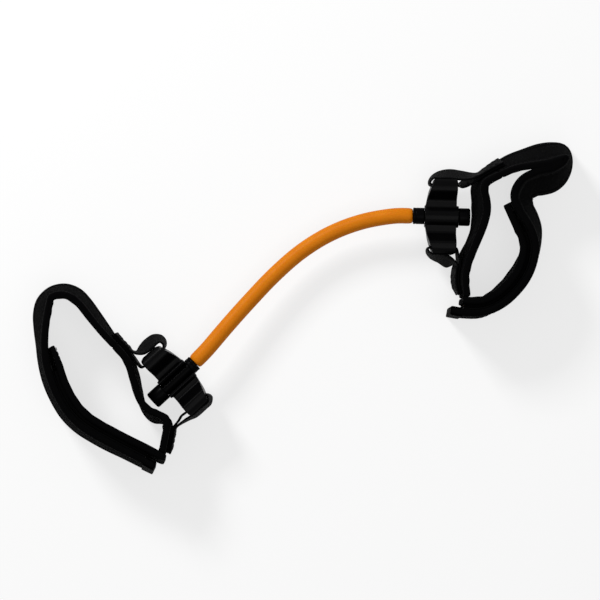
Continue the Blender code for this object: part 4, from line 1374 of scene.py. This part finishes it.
def make_strip(name, length, low, high, edge, cuts):
    """A flat strip between two heights, with its edges thinned as an outline of (height, half) says."""
    thick = 2 * edge[-1][1] * MM
    strip = add_block(name, (0, -thick / 2, low), (length, thick / 2, high))
    rows = 2 * (len(edge) - 1)
    edit_mode()
    cut_along(strip, 1, 1)
    cut_along(strip, 2, rows - 1)
    cut_along(strip, 0, min(MOST_CUTS, cuts))
    object_mode()
    places = coordinates(strip)
    row = np.rint((places[:, 2] - low) / (high - low) * rows).astype(int)
    nearest = np.minimum(row, rows - row)
    heights, halves = np.array(edge).T * MM
    places[:, 1] *= halves[nearest] / (thick / 2)
    places[:, 2] = np.where(row <= rows / 2, low + heights[nearest], high - heights[nearest])
    set_coordinates(strip, places)
    apply_modifier(strip, "SUBSURF", levels=1, render_levels=1)
    map_cloth(strip)
    return strip


def loop_route(host, start, end, free, side, slack):
    """The route of a loop of webbing, from its inner tail through the slot to its outer tail."""
    below = STRAP_THICKNESS / 2 + SEWN_GAP + WEBBING_THICKNESS / 2
    above = below + WEBBING_THICKNESS + SEWN_GAP
    tails = [section(host, start, end, away, COARSE)[:, :4] for away in (below, above)]

    def placed(key, reference):
        points = np.array(free[key], float) * MM
        points[:, 1] = side * (reference + points[:, 1])
        return points

    through = [(a + slack, side * SLOT_PLACE, 0, 0) for a in np.linspace(MM, BRACKET_END_DEPTH, 4)]
    return rerouted(np.vstack([
        tails[0][::-1], placed("behind", SLOT_PLACE), through, placed("before", SLOT_PLACE),
        placed("round", HALF_BRACKET), tails[1],
    ]))


def make_webbing(cuff, place, host, start, end, side):
    route = loop_route(host, start, end, LOOPS_OF_WEBBING[cuff.side, place], side, cuff.slack)
    length = distances(route)[-1]
    low = AXIS_HEIGHT - WEBBING_WIDTH / 2
    name = cuff.name(f"{place}_webbing")
    strip = make_strip(f"{name}_strip", length, low, low + WEBBING_WIDTH, SELVEDGE, round(length / MM))
    lay_on_route(strip, cuff, route)
    face_outwards(strip)
    cover(strip, WEBBING)
    dress(strip, cuff.name("cuff"), "nylon_webbing", f"{name}_loop")

    # The outer tail's outer face is on the route's right where the tail runs with the strap
    face = side * (WEBBING_THICKNESS / 2 + THREAD_RADIUS / 4)
    first, last = length - TAIL_LENGTH + BOX_MARGIN, length - BOX_MARGIN
    bottom, top = low + BOX_MARGIN, low + WEBBING_WIDTH - BOX_MARGIN
    rows = [make_stitch_row(first, last, face, height) for height in (bottom, top)]
    rows += [make_stitch_row(first, last, face, bottom, top - bottom)]
    rows += [make_stitch_row(first, last, face, top, bottom - top)]
    for near in (first, last):
        rows.append(make_stitch_row(near - MM / 20, near + MM / 20, face, bottom, top - bottom))
    stitches = finish_stitches(cuff.name(f"{place}_box_stitches"), rows, cuff, route)
    dress(stitches, cuff.name("cuff"), "nylon_webbing")
    return strip


for cuff in CUFFS:
    seam = cuff.lines.upper_seam
    strip = make_webbing(cuff, "upper", cuff.lines.main, seam, seam + TAIL_LENGTH, 1)
    seam = cuff.lines.lower_seam
    make_webbing(cuff, "lower", cuff.lines.band, seam, seam - TAIL_LENGTH - LONG_TAIL[cuff.side], -1)
    print(cuff.side, "webbing", count_triangles(strip), "triangles")

# %% [markdown]
# ## Hook and loop tape
#
# The flap carries the stiff hooks on its inner face, and the inner strap carries the soft loops on its
# outer face. Closed, the two lie against each other and only their edges show, but they come into
# view when the flap is peeled open. The hooks are rows of small bent pegs, made by two arrays of one
# peg on a thin backing. The loops are too fine to model and are a fuzzy finish.

# %% The two tapes
TAPE_EDGE_SECTION = ((0.0, 0.3), (0.5, 0.5), (1.5, 0.6), (8.0, 0.6), (22.0, 0.6))
PEG_PITCH = 1.7 * MM
PEG_WIDTH = 0.5 * MM
PEG_HEIGHT = 0.45 * MM
HOOK_BACKING = 0.65
PEG_MARGIN = 2 * MM
PEG_LEANS = (0.45, 0.15)


def make_tape(cuff, kind, body, finish):
    lines, hooks, name = cuff.lines, kind == "hook", cuff.name(f"{kind}_strip")
    start = lines.hinge + TAPE_START
    end = lines.flap_end - BINDING_LENGTH - TAPE_MARGIN
    face = STRAP_THICKNESS / 2 + GAP + TAPE_THICKNESS / 2
    route = section(lines.main, start, end, -face if hooks else lines.inward + face)
    length = distances(route)[-1]
    low = AXIS_HEIGHT - TAPE_WIDTH / 2
    share = HOOK_BACKING if hooks else 1.0
    edge = [(height, half * share) for height, half in TAPE_EDGE_SECTION]
    tape = make_strip(name, length, low, low + TAPE_WIDTH, edge, round(length / MM))
    places = coordinates(tape)
    if hooks:
        backing = TAPE_THICKNESS * HOOK_BACKING
        places[:, 1] += (TAPE_THICKNESS - backing) / 2 + np.where(places[:, 1] > 0, SEWN_DEPTH, 0)
        set_coordinates(tape, places)
        surface = TAPE_THICKNESS / 2 - backing
        tape = join_pieces(name, [tape, make_pegs(length, low, surface)])
        map_cloth(tape)
    else:
        places[:, 1] += np.where(places[:, 1] > 0, PILE, -SEWN_DEPTH)
        set_coordinates(tape, places)
    lay_on_route(tape, cuff, route)
    face_outwards(tape)
    cover(tape, finish)
    return dress(tape, cuff.name(body), f"{kind}_tape", cuff.name(f"{kind}_tape"))


def make_pegs(length, low, surface):
    """A field of small bent pegs that stand on the tape's inner face."""
    across = int((TAPE_WIDTH - 2 * PEG_MARGIN) / PEG_PITCH)
    along = int((length - 2 * PEG_MARGIN) / PEG_PITCH)
    peg = add_block(
        "pegs", (PEG_MARGIN, surface - PEG_HEIGHT, low + PEG_MARGIN),
        (PEG_MARGIN + PEG_WIDTH, surface + PEG_HEIGHT / 4, low + PEG_MARGIN + PEG_WIDTH),
    )
    edit_mode()
    cut_along(peg, 1, 2)
    for level, lean in zip((surface - PEG_HEIGHT, surface - PEG_HEIGHT / 2), PEG_LEANS):
        pick(peg, "VERT", lambda v: v.co.y < level + PEG_HEIGHT / 6)
        bpy.ops.transform.translate(value=(lean * PEG_WIDTH, 0, 0))
    object_mode()
    for count, step in ((along, (PEG_PITCH, 0, 0)), (across, (0, 0, PEG_PITCH))):
        apply_modifier(
            peg, "ARRAY", count=count, use_relative_offset=False, use_constant_offset=True,
            constant_offset_displace=step,
        )
    return peg


for cuff in CUFFS:
    hook = make_tape(cuff, "hook", "flap", HOOKS)
    loop = make_tape(cuff, "loop", "cuff", LOOPS)
    print(cuff.side, "hooks", count_triangles(hook), "loops", count_triangles(loop))

# %% [markdown]
# ## The flap's end
#
# The raw end of the flap is closed by a short fold of the same tape that edges the strap. It is a cap
# open on one side: a block without its inner face, given a wall with Solidify, with its corners
# rounded. It is made flat over the last millimetres of the flap and laid on the flap's route.

# %% Cap the flaps
CAP_ROUNDING = 0.8 * MM
CAP_WALL = 0.45 * MM
CAP_REACH = SEWN_GAP + CAP_WALL
CAP_CUTS_ALONG = 5
CAP_CUTS_UP = 24
CAP_SEAM = 1.6 * MM
CAP_SEAM_END = 2.0 * MM


def make_flap_cap(cuff):
    route = section(cuff.lines.main, cuff.lines.hinge, cuff.lines.flap_end)
    length = distances(route)[-1]
    half = STRAP_THICKNESS / 2 + SEWN_GAP + CAP_WALL
    cap = add_block(
        cuff.name("flap_end_fold"), (length - BINDING_LENGTH, -half, 0),
        (length + CAP_REACH, half, STRAP_HEIGHT),
    )
    edit_mode()
    cut_along(cap, 0, CAP_CUTS_ALONG)
    cut_along(cap, 2, CAP_CUTS_UP)
    pick(cap, "FACE", lambda f: f.normal.x < -0.9 or abs(f.normal.z) > 0.9)
    bpy.ops.mesh.delete(type="FACE")

    def end_corner(edge):
        upright = abs((edge.verts[1].co - edge.verts[0].co).normalized().z) > 0.9
        return upright and edge.verts[0].co.x > length and abs(edge.verts[0].co.y) > half / 2

    pick(cap, "EDGE", end_corner)
    bpy.ops.mesh.bevel(offset=CAP_ROUNDING, segments=5, affect="EDGES")
    object_mode()
    apply_modifier(cap, "SOLIDIFY", thickness=CAP_WALL, offset=-1.0)
    map_cloth(cap)
    lay_on_route(cap, cuff, route)
    face_outwards(cap)
    bpy.ops.object.shade_smooth_by_angle(angle=BROKEN_ANGLE)
    cover(cap, EDGE_TAPE)
    dress(cap, cuff.name("flap"), "padded_strap_fabric", cuff.name("flap_binding"))

    at, rows = length - BINDING_LENGTH + CAP_SEAM, []
    for side in (1, -1):
        face, tall = side * (half + THREAD_RADIUS / 4), STRAP_HEIGHT - 2 * CAP_SEAM_END
        rows.append(make_stitch_row(at - MM / 20, at + MM / 20, face, CAP_SEAM_END, tall))
    stitches = finish_stitches(cuff.name("flap_end_stitches"), rows, cuff, route)
    dress(stitches, cuff.name("flap"), "nylon_webbing")
    return cap


for cuff in CUFFS:
    cap = make_flap_cap(cuff)
    print(cap.name, count_triangles(cap), "triangles")

# %% [markdown]
# ## Finish
#
# The last step clears the selection.

# %% Clear the selection
select_nothing()
